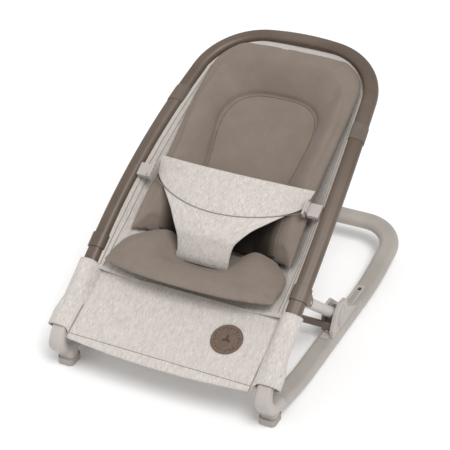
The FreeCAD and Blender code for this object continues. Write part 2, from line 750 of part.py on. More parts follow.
def make_button(side_name, side):
    """Release button between the carriage's cheeks."""
    body = new_body("release_button_" + side_name)
    inner = INNER_FACE + size("gap")
    width = size("ear_gap") - size("gap") * 2
    low = plain(RAIL_TOP) + size("track_thick") + size("gap")
    top = low + size("button_height")
    depth = size("button_depth")
    outline = [(plain(0), low), (depth, low), (depth, top - 4), (plain(2.5), top), (plain(0), top)]
    sketch = outline_sketch(body, "ButtonOutline_" + side_name, "YZ_Plane", side_start(inner, width, side), outline)
    pad(body, "ButtonPad_" + side_name, sketch, width)
    fillet(body, "ButtonEdges_" + side_name, plain(1.2), lambda edge: lies_at(edge, 1, 0))
    body.Placement = FreeCAD.Placement(V(0, LEG_FOOT.y - BUTTON_AHEAD, 0), FreeCAD.Rotation())
    keep(body, "release_button_" + side_name)


BUTTON_AHEAD = 25.0


def make_release_bar():
    """Flat bar under the seat that ties both release buttons together."""
    half = float(INNER_FACE) + num("gap")
    low = RAIL_TOP + num("track_thick") + num("gap") + 3
    bar = DOC.addObject("Part::Box", "ReleaseBarBlank")
    bind(bar, Length=(INNER_FACE + size("gap")) * 2, Width=size("bar_thick"), Height=size("bar_height"))
    bar.Placement = FreeCAD.Placement(V(-half, LEG_FOOT.y - BUTTON_AHEAD + 2.5, low), FreeCAD.Rotation())
    DOC.recompute()
    rounded = DOC.addObject("Part::Fillet", "release_bar")
    rounded.Base = bar
    long_edges = [number for number, edge in enumerate(bar.Shape.Edges, start=1) if runs_along(edge, X_AXIS)]
    rounded.Edges = [(number, 2.0, 2.0) for number in long_edges]
    keep(rounded, "release_bar")


def make_latch_pin(side_name, side):
    """Pin that drops through the track's slot and holds the carriage."""
    foot = V(side * TRACK_SPAN, LEG_FOOT.y + LATCH_BACK, RAIL_TOP + num("gap"))
    pin = bound_cylinder("latch_pin_" + side_name, size("latch_diameter") / 2, plain(PIN_LENGTH),
                         FreeCAD.Placement(foot, FreeCAD.Rotation()))
    keep(pin, "latch_pin_" + side_name)


def make_latch_spring(side_name, side):
    """Square-wire coil that pushes a latch pin down from the end of its bore."""
    radius = (num("latch_diameter") - SPRING_WIRE) / 2
    base = V(side * TRACK_SPAN, LEG_FOOT.y + LATCH_BACK, CARRIAGE_BASE + PIN_LENGTH + SPRING_WIRE / 2 + 0.02)
    pitch = (SPRING_LENGTH - SPRING_WIRE - 0.04) / SPRING_TURNS
    coil = Part.makeHelix(pitch, pitch * SPRING_TURNS, radius)
    half = SPRING_WIRE / 2
    corners = [V(radius + a * half, 0, b * half) for a, b in ((-1, -1), (1, -1), (1, 1), (-1, 1), (-1, -1))]
    section = Part.makePolygon(corners)
    spring = Part.Wire(coil).makePipeShell([section], True, True)
    feature("latch_spring_" + side_name, spring, FreeCAD.Placement(base, FreeCAD.Rotation()))


PIN_LENGTH = LATCH_BORE - 1 - SPRING_LENGTH


# ------------------------------------------------------------------- seat frame
SHOULDER = num("hinge_reach") + num("rail_thick") / 2 + 3 * num("gap")


def seat_edges():
    """Path of the seat tube: up one side, over the top and down the other."""
    left = [on_lower(-tube_span(SHOULDER), SHOULDER), SEAT_MIDDLE - V(num("seat_half_span"), 0, 0),
            SEAT_CORNER - V(num("top_half_span"), 0, 0)]
    top = SEAT_CORNER + direction(BACK) * num("top_rise")
    right = [V(-point.x, point.y, point.z) for point in left[::-1]]
    radii = [num("seat_bend"), num("top_corner"), num("top_bend"), num("top_corner"), num("seat_bend")]
    return rounded_edges(left + [top] + right, radii)


SEAT_EDGES = seat_edges()


def on_tube(side, reach):
    """Centre and direction of a side tube, so far up the seat from the elbow."""
    start = SEAT_EDGES[0].tangentAt(SEAT_EDGES[0].FirstParameter)
    origin = SEAT_EDGES[0].valueAt(SEAT_EDGES[0].FirstParameter)
    mark = Part.makeLine(origin, origin + start)
    carry(mark, reach)
    centre = mark.valueAt(mark.FirstParameter)
    along = mark.tangentAt(mark.FirstParameter)
    if side > 0:
        return V(-centre.x, centre.y, centre.z), V(-along.x, along.y, along.z)
    return centre, along


def carry(shape, reach):
    """Carry a shape from the left tube's start so far up the seat."""
    left_over = reach - SHOULDER
    for edge in SEAT_EDGES:
        step_along(shape, edge, min(left_over, edge.Length))
        left_over -= edge.Length
        if left_over <= 0:
            break


def tube_oval(side, reach, grow=0.0):
    """Outline of the seat tube, grown all round, so far up one side."""
    origin = SEAT_EDGES[0].valueAt(SEAT_EDGES[0].FirstParameter)
    along = SEAT_EDGES[0].tangentAt(SEAT_EDGES[0].FirstParameter)
    oval = flat_oval(origin, along, X_AXIS, num("tube_width") + 2 * grow, num("tube_thick") + 2 * grow,
                     -num("tube_tilt"))
    carry(oval, reach)
    return oval if side < 0 else oval.mirror(V(0, 0, 0), X_AXIS)


def make_seat_tube():
    """The bent tube that carries the fabric."""
    outer = swept(SEAT_EDGES, tube_oval(-1, SHOULDER))
    feature("seat_tube", outer.cut(swept(SEAT_EDGES, tube_oval(-1, SHOULDER, -num("wall")))))


def ring_on_tube(side, start, end, inner, outer, margin=3.0):
    """Straight collar round a side tube between two reaches, and the longer plug of its bore."""
    middle = (start + end) / 2
    _, along = on_tube(side, middle)

    def plug(grow, extra):
        half = (end - start) / 2 + extra
        face = Part.Face(Part.Wire(tube_oval(side, middle, grow).Edges))
        face.translate(-along * half)
        return face.extrude(along * (2 * half))

    return plug(outer, 0), plug(inner, margin)


def make_tube_end(side_name, side):
    """Plug in the seat tube's end with the tongue of the seat hinge."""
    shape = tube_plug(side)
    eye = num("rail_thick") / 2 - 1
    tongue_width = num("tongue_width")
    middle = HINGE + V(side * HINGE_SPAN, 0, 0)
    tongue = Part.makeBox(tongue_width, SHOULDER - num("hinge_reach") + 8, 2 * eye,
                          V(-tongue_width / 2, 0, -eye))
    tongue.Placement = tilted(middle, LOWER)
    round_end = Part.makeCylinder(eye, tongue_width, middle - V(tongue_width / 2, 0, 0), X_AXIS)
    shape = shape.fuse([tongue.common(tongue_limit(side)), round_end])
    bore = num("hinge_pin") / 2 + num("pin_gap")
    shape = shape.cut(Part.makeCylinder(bore, 80, middle - V(40, 0, 0), X_AXIS))
    feature("seat_tube_end_" + side_name, shape.removeSplitter())


def tube_plug(side):
    """Plug that fills the seat tube's lower end."""
    _, along = on_tube(side, SHOULDER)
    inset = num("wall") + num("pin_gap")
    return Part.Face(Part.Wire(tube_oval(side, SHOULDER, -inset).Edges)).extrude(along * SEAT_SPIGOT)


def tongue_limit(side):
    """Room for the tongue: ahead of the tube's end, and inside its bore beyond."""
    start, along = on_tube(side, SHOULDER)
    ahead = Part.makeBox(80, 80, 40, V(-40, -40, -40))
    ahead.Placement = FreeCAD.Placement(start, FreeCAD.Rotation(V(0, 0, 1), along))
    return tube_plug(side).fuse(ahead)


def make_hinge_pin(side_name, side):
    """Pin of the seat hinge, pressed in the elbow's fork."""
    length = size("rail_width") - 4
    point = HINGE + V(side * num("half_span") - float(length) / 2, 0, 0)
    pin = bound_cylinder("hinge_pin_" + side_name, size("hinge_pin") / 2, length, across(point))
    keep(pin, "hinge_pin_" + side_name)


def ear_outline(tube_centre, along, pivot, thick, x):
    """Plate between the seat tube and a leg pivot, rounded about the pivot."""
    half = 13.0
    points = [tube_centre - along * half, tube_centre + along * half]
    points = [V(x, point.y, point.z) for point in points]
    eye = V(x, pivot.y, pivot.z)
    plate = Part.Face(Part.makePolygon([points[0], points[1], eye + along * EAR_ROUND,
                                        eye - along * EAR_ROUND, points[0]])).extrude(V(thick, 0, 0))
    return plate.fuse(Part.makeCylinder(EAR_ROUND, thick, eye, X_AXIS))


EAR_ROUND = 8.0


def make_leg_bracket(side_name, side):
    """Collar clamped on the seat tube, with two ears for the leg."""
    reach = num("leg_reach")
    outer, inner = ring_on_tube(side, reach - 13, reach + 13, 0.15, 2.5)
    centre, along = on_tube(side, reach)
    flat_along = V(0, along.y, along.z).normalize()
    thick = num("ear_thick")
    near = num("leg_span") - num("ear_gap") / 2 - thick
    far = num("leg_span") + num("ear_gap") / 2
    shape = outer
    for start in (near, far):
        x = start if side > 0 else -start - thick
        shape = shape.fuse(ear_outline(centre, flat_along, LEG_TOP, thick, x))
    shape = shape.cut(inner)
    bore = num("leg_pin") / 2 + num("pin_gap")
    shape = shape.cut(Part.makeCylinder(bore, 60, LEG_TOP + V(side * num("leg_span") - 30, 0, 0), X_AXIS))
    feature("leg_bracket_" + side_name, shape.removeSplitter())


def make_leg_pins(side_name, side):
    """Pin through the bracket's ears, and the one in the leg's lower eye."""
    length = size("ear_gap") + size("ear_thick") * 2
    top = LEG_TOP + V(side * num("leg_span") - float(length) / 2, 0, 0)
    keep(bound_cylinder("leg_top_pin_" + side_name, size("leg_pin") / 2, length, across(top)),
         "leg_top_pin_" + side_name)
    short = size("ear_gap") - size("gap") * 2
    foot = LEG_FOOT + V(side * num("leg_span") - float(short) / 2, 0, 0)
    keep(bound_cylinder("leg_foot_pin_" + side_name, size("leg_pin") / 2, short, across(foot)),
         "leg_foot_pin_" + side_name)


def make_leg(side_name, side):
    """Round support tube with domed ends, drilled for its two pins."""
    x = V(side * num("leg_span"), 0, 0)
    radius = num("leg_diameter") / 2
    run = LEG_TOP - LEG_FOOT
    shape = Part.makeCylinder(radius, run.Length, LEG_FOOT + x, run)
    shape = shape.fuse([Part.makeSphere(radius, LEG_FOOT + x), Part.makeSphere(radius, LEG_TOP + x)])
    bore = num("leg_pin") / 2 + num("pin_gap")
    for pivot in (LEG_TOP, LEG_FOOT):
        shape = shape.cut(Part.makeCylinder(bore, 60, pivot + x - V(30, 0, 0), X_AXIS))
    feature("support_leg_" + side_name, shape.removeSplitter())


# ------------------------------------------------------------------- soft parts
def make_front_cover():
    """Front panel and the two sleeves that hold it on the side tubes, one sewn piece."""
    span = num("half_span") - num("rail_width") / 2 - 1.0
    under = -num("fabric")
    hem = Part.Arc(on_panel(-span, 0, under), on_panel(0, -num("hem_bow"), under), on_panel(span, 0, under))
    top = num("panel_length")
    sides = [on_panel(span, 0, under), on_panel(span, top, under), on_panel(-span, top, under),
             on_panel(-span, 0, under)]
    lines = [Part.LineSegment(sides[index], sides[index + 1]).toShape() for index in range(3)]
    panel = Part.Face(Part.Wire([hem.toShape()] + lines)).extrude(normal(PANEL) * num("fabric"))
    shape = panel
    bores = []
    for side in SIDES.values():
        grow = num("soft_gap") + SLEEVE_EASE
        outer, inner = ring_on_tube(side, num("sleeve_start"), num("sleeve_end"), grow, grow + num("fabric"))
        shape = shape.fuse(outer)
        bores.append(inner)
    for inner in bores:
        shape = shape.cut(inner)
    feature("front_cover", shape.removeSplitter())


SLEEVE_EASE = 0.4
BUCKET_GAP = 3.0
RIM = 2.0
TUBE_ROUND = num("tube_thick") / 2
TUBE_SPREAD = (num("tube_width") / 2 - TUBE_ROUND) * math.cos(math.radians(num("tube_tilt"))) + TUBE_ROUND
SEAT_NORMAL = (LOWER + BACK) / 2


def sling_line(lift):
    """Side view of the seat cloth from the front edge over the crease to the top."""
    stations = [(FRONT_REACH, "front_depth"), (num("crease_reach"), "crease_depth"),
                (num("lumbar_reach"), "lumbar_depth"), (num("head_reach"), "head_depth"),
                (SEAT_TOP_REACH, "rim_depth")]
    return [beside_seat(0, reach, lift - num(depth)) for reach, depth in stations]


FRONT_REACH = num("sleeve_end") + 1.0
SEAT_TOP_REACH = num("lower_length") + num("back_length") - 8
SIDE_TURN = math.radians(LOWER - BACK)


def rim_line(lift):
    """The seat tubes' side view, raised: its top, the bend's corner and its front end."""
    corner = SEAT_MIDDLE + normal(SEAT_NORMAL) * (lift / math.cos(SIDE_TURN / 2))
    return [on_back(0, SEAT_TOP_REACH, lift), corner, on_lower(0, FRONT_REACH + 5, lift)]


def inside_tube(inset):
    """Prism of the seat opening, a margin inside the tube's centre line."""
    along, up = direction(SEAT_NORMAL), normal(SEAT_NORMAL)
    base = SEAT_START - up * 250
    marks = [(on_lower(0, 60), num("seat_half_span")), (SEAT_MIDDLE, num("seat_half_span")),
             (SEAT_CORNER, num("top_half_span"))]
    right = [base + along * (point - SEAT_START).dot(along) + V(span, 0, 0) for point, span in marks]
    crown = SEAT_CORNER + direction(BACK) * num("top_rise")
    top = base + along * (crown - SEAT_START).dot(along)
    left = [V(-point.x, point.y, point.z) for point in right[::-1]]
    corner = num("top_corner")
    long_bend = BEND / math.tan(math.atan(LEAN) / 2)
    radii = [0, long_bend, corner, num("top_bend"), corner, long_bend, 0]
    wire = Part.Wire(rounded_edges(right + [top] + left, radii, closed=True))
    smaller = wire.makeOffset2D(-inset, 0, False, False, True)
    return Part.Face(smaller).extrude(up * 500)


def side_prism(points, half_width, radii=None):
    """Side outline pushed across the seat."""
    moved = [V(-half_width, point.y, point.z) for point in points]
    return prism(moved, V(2 * half_width, 0, 0), radii)


def make_seat_cover():
    """Cloth bucket hung inside the seat tube."""
    thick = num("fabric") + 1
    inset = TUBE_SPREAD + BUCKET_GAP
    bend = BEND / math.tan(SIDE_TURN / 2)
    radii = [0] * 6 + [bend, 0]
    outer = side_prism(sling_line(-thick) + rim_line(RIM), 250, radii).common(inside_tube(inset))
    inner = side_prism(sling_line(0) + rim_line(RIM + 40), 250, radii).common(inside_tube(inset + thick))
    cover = outer.cut(inner)
    for side in SIDES.values():
        room = TAB_CLOTH + 2 * num("soft_gap")
        tab, _ = ring_on_tube(side, TAB_REACH - 1, TAB_REACH + TAB_LENGTH + 1, 0, room)
        cover = cover.cut(tab)
    feature("seat_cover", cover)


def pad_between(bottom, top):
    """Soft slab between two side lines, a margin inside the tube."""
    return side_prism(bottom + top[::-1], 250).common(inside_tube(num("inlay_margin")))


def make_inlay():
    """Padded liner: the seat flap and the back, which meet in the crease."""
    rest = 3 * num("soft_gap")
    thick = num("inlay_thick")
    crest = num("inlay_crest")
    line = sling_line(rest)
    upper = sling_line(rest + thick)
    front = FRONT_REACH
    bottom = [on_lower(0, front + 3, rest - num("front_depth")), line[0] + (line[1] - line[0]) * SEAT_SHARE]
    top = [on_lower(0, front + 6, crest - 2), on_lower(0, front + CREST_LENGTH, crest),
           upper[0] + (upper[1] - upper[0]) * SEAT_SHARE]
    feature("inlay_seat", pad_between(bottom, top))
    crease = num("crease_reach")
    bottom = [beside_seat(0, crease + 4, rest - num("crease_depth") + 1)] + line[2:]
    top = [beside_seat(0, crease - 3, rest - num("crease_depth") + thick + 3)] + upper[2:]
    feature("inlay_back", pad_between(bottom, top))


SEAT_SHARE = 0.86
CREST_LENGTH = 23.0


def make_inlay_tab(side_name, side):
    """Cloth tab of the liner, wrapped round the side tube."""
    outer, inner = ring_on_tube(side, TAB_REACH, TAB_REACH + TAB_LENGTH, num("soft_gap"), num("soft_gap") + TAB_CLOTH)
    feature("inlay_tab_" + side_name, outer.cut(inner))


TAB_REACH = 466.0
TAB_LENGTH = 34.0
TAB_CLOTH = 1.4


def make_belt():
    """Belly belt and crotch strap, one stiffened T-shaped pad."""
    span, rise, crown = num("belt_half_span"), num("belt_rise"), num("belt_crown")
    thick = num("belt_thick")
    middle = beside_seat(0, BELT_REACH)
    frame = tilted(middle, BELT_ANGLE)

    def arch(lift):
        return Part.Arc(V(-span, 0, rise + lift), V(0, 0, crown + lift), V(span, 0, rise + lift))

    under, over = arch(0).toShape(), arch(thick).toShape()
    closing = [Part.LineSegment(V(s * span, 0, rise), V(s * span, 0, rise + thick)).toShape() for s in (-1, 1)]
    wire = Part.Wire(Part.__sortEdges__([under, over] + closing))
    band = Part.Face(wire).extrude(V(0, num("belt_width"), 0))
    band.Placement = frame
    half = num("crotch_width") / 2
    line = [beside_seat(-half, BELT_REACH + 20, crown - 3), beside_seat(-half, STRAP_BEND, crown + 2),
            on_lower(-half, STRAP_FOOT + 8, 8), on_lower(-half, STRAP_FOOT, -7)]
    back = [point + V(0, -0.35 * thick, 0.94 * thick) for point in line[:2]]
    back += [point + V(0, -thick, 0.3 * thick) for point in line[2:]]
    strap = prism(line + back[::-1], V(2 * half, 0, 0))
    feature("belly_belt", band.fuse(strap).removeSplitter())


BELT_REACH = 300.0
BELT_ANGLE = LOWER - (LOWER - BACK) * (BELT_REACH - BEND_START) / (2 * BEND)
STRAP_BEND = 228.0
STRAP_FOOT = 180.0
HOOK_REACH = 312.0
LOOP_DEPTH = 15.0


def make_buckle(side_name, side):
    """Ladder loop on the belt's end and the hook plate that holds it to the frame."""
    frame = tilted(beside_seat(0, HOOK_REACH), BELT_ANGLE)
    start = plain(num("belt_half_span") + num("soft_gap"))
    thick = plain(4)
    loop = new_body("belt_loop_" + side_name)
    low = size("belt_rise") - 2
    high = low + LOOP_DEPTH
    ring = [(plain(-15), low), (plain(15), low), (plain(15), high), (plain(-15), high)]
    sketch = outline_sketch(loop, "LoopOutline_" + side_name, "YZ_Plane", side_start(start, thick, side), ring)
    pad(loop, "LoopPad_" + side_name, sketch, thick)
    fillet(loop, "LoopCorners_" + side_name, plain(3), lambda edge: runs_along(edge, X_AXIS))
    for name, bottom in (("Lower", 2.5), ("Upper", 8.5)):
        slot = [(plain(-11.5), low + bottom), (plain(11.5), low + bottom),
                (plain(11.5), low + bottom + 4), (plain(-11.5), low + bottom + 4)]
        sketch = outline_sketch(loop, name + "Slot_" + side_name, "YZ_Plane", plain(-200), slot)
        pocket(loop, name + "SlotCut_" + side_name, sketch, plain(400))
    loop.Placement = frame
    keep(loop, "belt_loop_" + side_name)
    plate = new_body("belt_hook_" + side_name)
    start = start + 4 + size("gap")
    thick = plain(3)
    shape = [(plain(-7), plain(4)), (plain(7), plain(4)), (plain(9), plain(9)), (plain(10), high - 6),
             (plain(10), high), (plain(-10), high), (plain(-10), high - 6), (plain(-9), plain(9))]
    sketch = outline_sketch(plate, "HookOutline_" + side_name, "YZ_Plane", side_start(start, thick, side), shape)
    pad(plate, "HookPad_" + side_name, sketch, thick)
    fillet(plate, "HookCorners_" + side_name, plain(2), lambda edge: runs_along(edge, X_AXIS)
           and abs(middle_of(edge).z - float(high)) < 0.1)
    plate.Placement = frame
    keep(plate, "belt_hook_" + side_name)
    anchor = DOC.addObject("Part::Box", "belt_anchor_" + side_name)
    near = float(start) + 3 + num("pin_gap")
    anchor_width = tube_span(HOOK_REACH) - TUBE_SPREAD - 2 * num("gap") - near
    bind(anchor, Length=plain(anchor_width), Width=plain(24), Height=plain(9))
    x = near if side > 0 else -near - anchor_width
    anchor.Placement = frame.multiply(FreeCAD.Placement(V(x, -12, RIM + num("soft_gap")), FreeCAD.Rotation()))
    keep(anchor, "belt_anchor_" + side_name)


def make_badge():
    """Round leather patch sewn on the front panel."""
    foot = on_panel(BADGE_SPAN, BADGE_REACH)
    badge = bound_cylinder("badge", size("badge_diameter") / 2, size("badge_thick"), tilted(foot, PANEL))
    keep(badge, "badge")


BADGE_SPAN = 96.0
BADGE_REACH = 76.0


# -------------------------------------------------------------------- assembly
make_seat_tube()
make_front_cover()
make_seat_cover()
make_inlay()
make_belt()
make_badge()
make_release_bar()
for side_name, side in SIDES.items():
    make_elbow(side_name, side)
    make_foot(side_name, side)
    make_grip_strip(side_name, side)
    make_track(side_name, side)
    make_stop(side_name, side)
    make_carriage(side_name, side)
    make_cap(side_name, side)
    make_button(side_name, side)
    make_latch_pin(side_name, side)
    make_latch_spring(side_name, side)
    make_tube_end(side_name, side)
    make_hinge_pin(side_name, side)
    make_leg_bracket(side_name, side)
    make_leg_pins(side_name, side)
    make_leg(side_name, side)
    make_inlay_tab(side_name, side)
    make_buckle(side_name, side)
DOC.recompute()


def check_document():
    """Stop before writing if any object failed or any sub-part is not sound."""
    for thing in DOC.Objects:
        if "Invalid" in thing.State or "Error" in thing.State:
            raise RuntimeError("%s did not build: %s" % (thing.Label, thing.State))
    for thing in PARTS:
        if thing.Shape.isNull() or not thing.Shape.isValid() or not thing.Shape.Solids:
            raise RuntimeError("%s is not a sound solid" % thing.Label)


check_document()
os.makedirs("parts", exist_ok=True)
for thing in PARTS:
    thing.Shape.exportStep("parts/%s.step" % thing.Label)
    box = thing.Shape.BoundBox
    print("%-24s solids %d volume %9.0f  z %6.1f..%6.1f" % (
        thing.Label, len(thing.Shape.Solids), thing.Shape.Volume, box.ZMin, box.ZMax))
print(len(PARTS), "nodes")
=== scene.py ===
# %% [markdown]
# # A baby bouncer seat
# A bent-tube frame stands on the floor, a second tube hoop leans back from it,
# and padded cloth hangs in the hoop.  The frame, hinges and slides come ready
# from the design model; this lesson gives them their finishes and makes every
# soft part: front panel, sleeves, slung seat, padded liner and belly belt.

# %% Load the frame
import bpy, bmesh, json, math
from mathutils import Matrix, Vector, noise


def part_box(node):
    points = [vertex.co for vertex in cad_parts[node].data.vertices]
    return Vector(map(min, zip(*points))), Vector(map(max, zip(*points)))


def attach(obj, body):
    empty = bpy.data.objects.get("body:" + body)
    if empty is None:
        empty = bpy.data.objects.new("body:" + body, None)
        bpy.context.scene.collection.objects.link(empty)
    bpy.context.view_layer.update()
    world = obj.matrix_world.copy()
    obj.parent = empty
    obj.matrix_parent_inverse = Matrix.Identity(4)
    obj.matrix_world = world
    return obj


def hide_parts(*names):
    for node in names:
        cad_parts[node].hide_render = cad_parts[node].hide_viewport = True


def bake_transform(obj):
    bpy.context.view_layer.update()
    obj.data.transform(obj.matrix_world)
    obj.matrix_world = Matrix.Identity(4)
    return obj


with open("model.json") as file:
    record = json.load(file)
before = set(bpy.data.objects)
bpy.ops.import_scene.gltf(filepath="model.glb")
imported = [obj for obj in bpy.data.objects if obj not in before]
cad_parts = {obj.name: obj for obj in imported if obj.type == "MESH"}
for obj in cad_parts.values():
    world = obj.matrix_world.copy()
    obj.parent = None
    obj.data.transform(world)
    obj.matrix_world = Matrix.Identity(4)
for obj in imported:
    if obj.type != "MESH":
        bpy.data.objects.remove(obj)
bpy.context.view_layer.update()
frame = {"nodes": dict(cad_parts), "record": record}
MM = 0.001
nodes = frame["nodes"]
print("frame nodes:", len(nodes))

# %% [markdown]
# ## Where things are
# Every soft part hangs on the seat hoop, so one small set of functions gives a
# place on it: so far across, so far up the tube from the hinge end, and so far
# above the tube's centre.  The hinge pin fixes the whole grid to the frame.

# %% The seat's own coordinates
def centre(node):
    low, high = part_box(node)
    return (low + high) / 2


HINGE = centre("hinge_pin_right")
HINGE.x = 0
LOWER, BACK = math.radians(35.6), math.radians(24.2)
HINGE_REACH = 22 * MM
LOWER_LENGTH, BACK_LENGTH = 341 * MM, 303 * MM
BEND = 176 * MM
TUBE_SPAN, TOP_SPAN, TOP_RISE = 188.4 * MM, 154.3 * MM, 21.6 * MM
TUBE_WIDE, TUBE_THICK, TUBE_TILT = 27.4 * MM, 20 * MM, math.radians(17)
LEAN = (TUBE_SPAN - TOP_SPAN) / BACK_LENGTH


def along(angle):
    return Vector((0, math.cos(angle), math.sin(angle)))


def above(angle):
    return Vector((0, -math.sin(angle), math.cos(angle)))


START = HINGE - along(LOWER) * HINGE_REACH
MIDDLE = START + along(LOWER) * LOWER_LENGTH


def on_seat(x, reach, lift):
    """A point across the seat, up the hoop and above its tube."""
    part = min(max((reach - LOWER_LENGTH + BEND) / (2 * BEND), 0), 1)
    if part == 0:
        point = START + along(LOWER) * reach
    elif part == 1:
        point = MIDDLE + along(BACK) * (reach - LOWER_LENGTH)
    else:
        low = MIDDLE - along(LOWER) * BEND
        high = MIDDLE + along(BACK) * BEND
        point = low * (1 - part) ** 2 + MIDDLE * (2 * part * (1 - part)) + high * part ** 2
    return point + above(LOWER + (BACK - LOWER) * part) * lift + Vector((x, 0, 0))


def from_hinge(x, back, up):
    """A point behind and above the hinge pins."""
    return HINGE + Vector((x, back, up))


def smooth(value, low, high):
    t = min(max((value - low) / (high - low), 0), 1)
    return t * t * (3 - 2 * t)


def tube_span(reach):
    """Centre of a side tube from the middle plane."""
    if reach <= LOWER_LENGTH - BEND:
        return TUBE_SPAN
    if reach <= LOWER_LENGTH + BEND:
        return TUBE_SPAN - LEAN * (reach - LOWER_LENGTH + BEND) ** 2 / (4 * BEND)
    return TUBE_SPAN - LEAN * (reach - LOWER_LENGTH)


HOOP_TOP = LOWER_LENGTH + BACK_LENGTH + TOP_RISE - 2 * MM
CORNER_START = LOWER_LENGTH + BACK_LENGTH - 88 * MM


def half_width(reach, inset):
    """Half the opening of the hoop, a margin inside the tube's centre line."""
    side = tube_span(min(reach, CORNER_START)) - inset
    if reach <= CORNER_START:
        return side
    rise = min((reach - CORNER_START) / (HOOP_TOP - inset - CORNER_START), 1)
    return side * max(1 - rise ** 2.35, 0) ** (1 / 2.35)


print("hinge pins at", [round(value, 4) for value in HINGE])

# %% [markdown]
# ## Camera
# A long lens from a little above, to the seat's right front.  It goes in early
# because every later choice is judged through it.

# %% Camera
camera_data = bpy.data.cameras.new("camera")
camera_data.lens = 120.7
camera_data.shift_x, camera_data.shift_y = -0.0096, 0.012
camera = bpy.data.objects.new("camera", camera_data)
bpy.context.scene.collection.objects.link(camera)
VIEW_TURN, VIEW_RISE, VIEW_DISTANCE = math.radians(25.9), math.radians(31.55), 2.6055
toward = Vector((math.sin(VIEW_TURN) * math.cos(VIEW_RISE),
                 -math.cos(VIEW_TURN) * math.cos(VIEW_RISE), math.sin(VIEW_RISE)))
camera.location = from_hinge(0, 239.6 * MM, 87.7 * MM) + toward * VIEW_DISTANCE
camera.rotation_euler = (-toward).to_track_quat("-Z", "Y").to_euler()
bpy.context.scene.camera = camera
bpy.context.scene.view_settings.view_transform = "Standard"

# %% [markdown]
# ## Helpers for materials
# A material is a small graph of nodes.  One function turns a hex colour into
# the linear numbers that shaders use, and one adds a node with its settings
# and links, so that each finish below reads as a recipe.

# %% Colours and nodes
def colour(text):
    """sRGB hex to linear RGBA."""
    out = []
    for start in (1, 3, 5):
        value = int(text[start:start + 2], 16) / 255
        out.append(value / 12.92 if value <= 0.04045 else ((value + 0.055) / 1.055) ** 2.4)
    return (*out, 1.0)


def add(tree, kind, inputs=None, **settings):
    """Add a node; an input is a value or another node's output socket."""
    node = tree.nodes.new(kind)
    for name, value in settings.items():
        setattr(node, name, value)
    for name, value in (inputs or {}).items():
        if isinstance(value, bpy.types.NodeSocket):
            tree.links.new(value, node.inputs[name])
        else:
            node.inputs[name].default_value = value
    return node


def ramp(tree, source, stops):
    """Colour ramp over a factor, its stops given as place and hex colour."""
    node = add(tree, "ShaderNodeValToRGB", {"Fac": source})
    elements = node.color_ramp.elements
    while len(elements) < len(stops):
        elements.new(0.5)
    for element, (place, text) in zip(elements, stops):
        element.position = place
        element.color = colour(text)
    return node.outputs["Color"]


def new_material(name, **shader):
    """Material with a Principled shader set up from plain values."""
    material = bpy.data.materials.new(name)
    material.use_nodes = True
    surface = material.node_tree.nodes["Principled BSDF"]
    for key, value in shader.items():
        surface.inputs[key.replace("_", " ").title() if key != "ior" else "IOR"].default_value = value
    return material, material.node_tree, surface


def finish_with(tree, surface, base=None, rough=None, height=None, depth=0.0, distance=1 * MM):
    """Link colour, roughness and bump to the shader."""
    if base is not None:
        tree.links.new(base, surface.inputs["Base Color"])
    if rough is not None:
        tree.links.new(rough, surface.inputs["Roughness"])
    if height is not None:
        bump = add(tree, "ShaderNodeBump", {"Height": height, "Strength": depth, "Distance": distance})
        tree.links.new(bump.outputs["Normal"], surface.inputs["Normal"])


# %% [markdown]
# ## Hard finishes
# The tubes are steel with a matt powder coat, which has a fine orange-peel
# skin and never a mirror gloss.  The corners, slides and buckles are moulded
# polypropylene with a spark-eroded grain.  Both get slight colour drift so
# that large areas don't look printed.

# %% Powder coat and moulded plastic
GRAIN_COAT = 1 / (0.9 * MM)
GRAIN_MOULD = 1 / (0.6 * MM)


def powder_coat(name, light, dark):
    material, tree, surface = new_material(name, roughness=0.42)
    spot = add(tree, "ShaderNodeTexCoord").outputs["Object"]
    drift = add(tree, "ShaderNodeTexNoise", {"Vector": spot, "Scale": 14.0, "Detail": 3.0})
    peel = add(tree, "ShaderNodeTexNoise", {"Vector": spot, "Scale": GRAIN_COAT, "Detail": 2.0})
    rough = add(tree, "ShaderNodeMapRange", {"Value": drift.outputs["Fac"], "To Min": 0.36, "To Max": 0.5})
    finish_with(tree, surface, ramp(tree, drift.outputs["Fac"], [(0.35, dark), (0.65, light)]),
                rough.outputs["Result"], peel.outputs["Fac"], 0.12, 0.3 * MM)
    return material


def moulded(name, light, dark, roughness=0.5):
    material, tree, surface = new_material(name, roughness=roughness, ior=1.49)
    spot = add(tree, "ShaderNodeTexCoord").outputs["Object"]
    drift = add(tree, "ShaderNodeTexNoise", {"Vector": spot, "Scale": 22.0, "Detail": 4.0})
    grain = add(tree, "ShaderNodeTexVoronoi", {"Vector": spot, "Scale": GRAIN_MOULD})
    rough = add(tree, "ShaderNodeMapRange",
                {"Value": drift.outputs["Fac"], "To Min": roughness - 0.06, "To Max": roughness + 0.1})
    finish_with(tree, surface, ramp(tree, drift.outputs["Fac"], [(0.3, dark), (0.7, light)]),
                rough.outputs["Result"], grain.outputs["Distance"], 0.1, 0.2 * MM)
    return material


FINISH = {
    "base_paint": powder_coat("greige powder coat", "#a8a29b", "#9d9790"),
    "frame_paint": powder_coat("brown powder coat", "#65574b", "#584a3f"),
    "leg_paint": powder_coat("pale powder coat", "#c3bbb5", "#b9b1ab"),
    "brown_paint": powder_coat("dark brown powder coat", "#776a60", "#6c5f55"),
    "grey_plastic": moulded("greige polypropylene", "#b6aea9", "#aca5a0"),
    "brown_plastic": moulded("brown polypropylene", "#7c6f65", "#6f6258"),
    "foot_rubber": moulded("greige rubber", "#a59e98", "#9a938d", 0.75),
}

# %% [markdown]
# The pins are zinc-plated steel: a grey metal whose plating leaves it
# faintly blotchy.  Only their ends show.

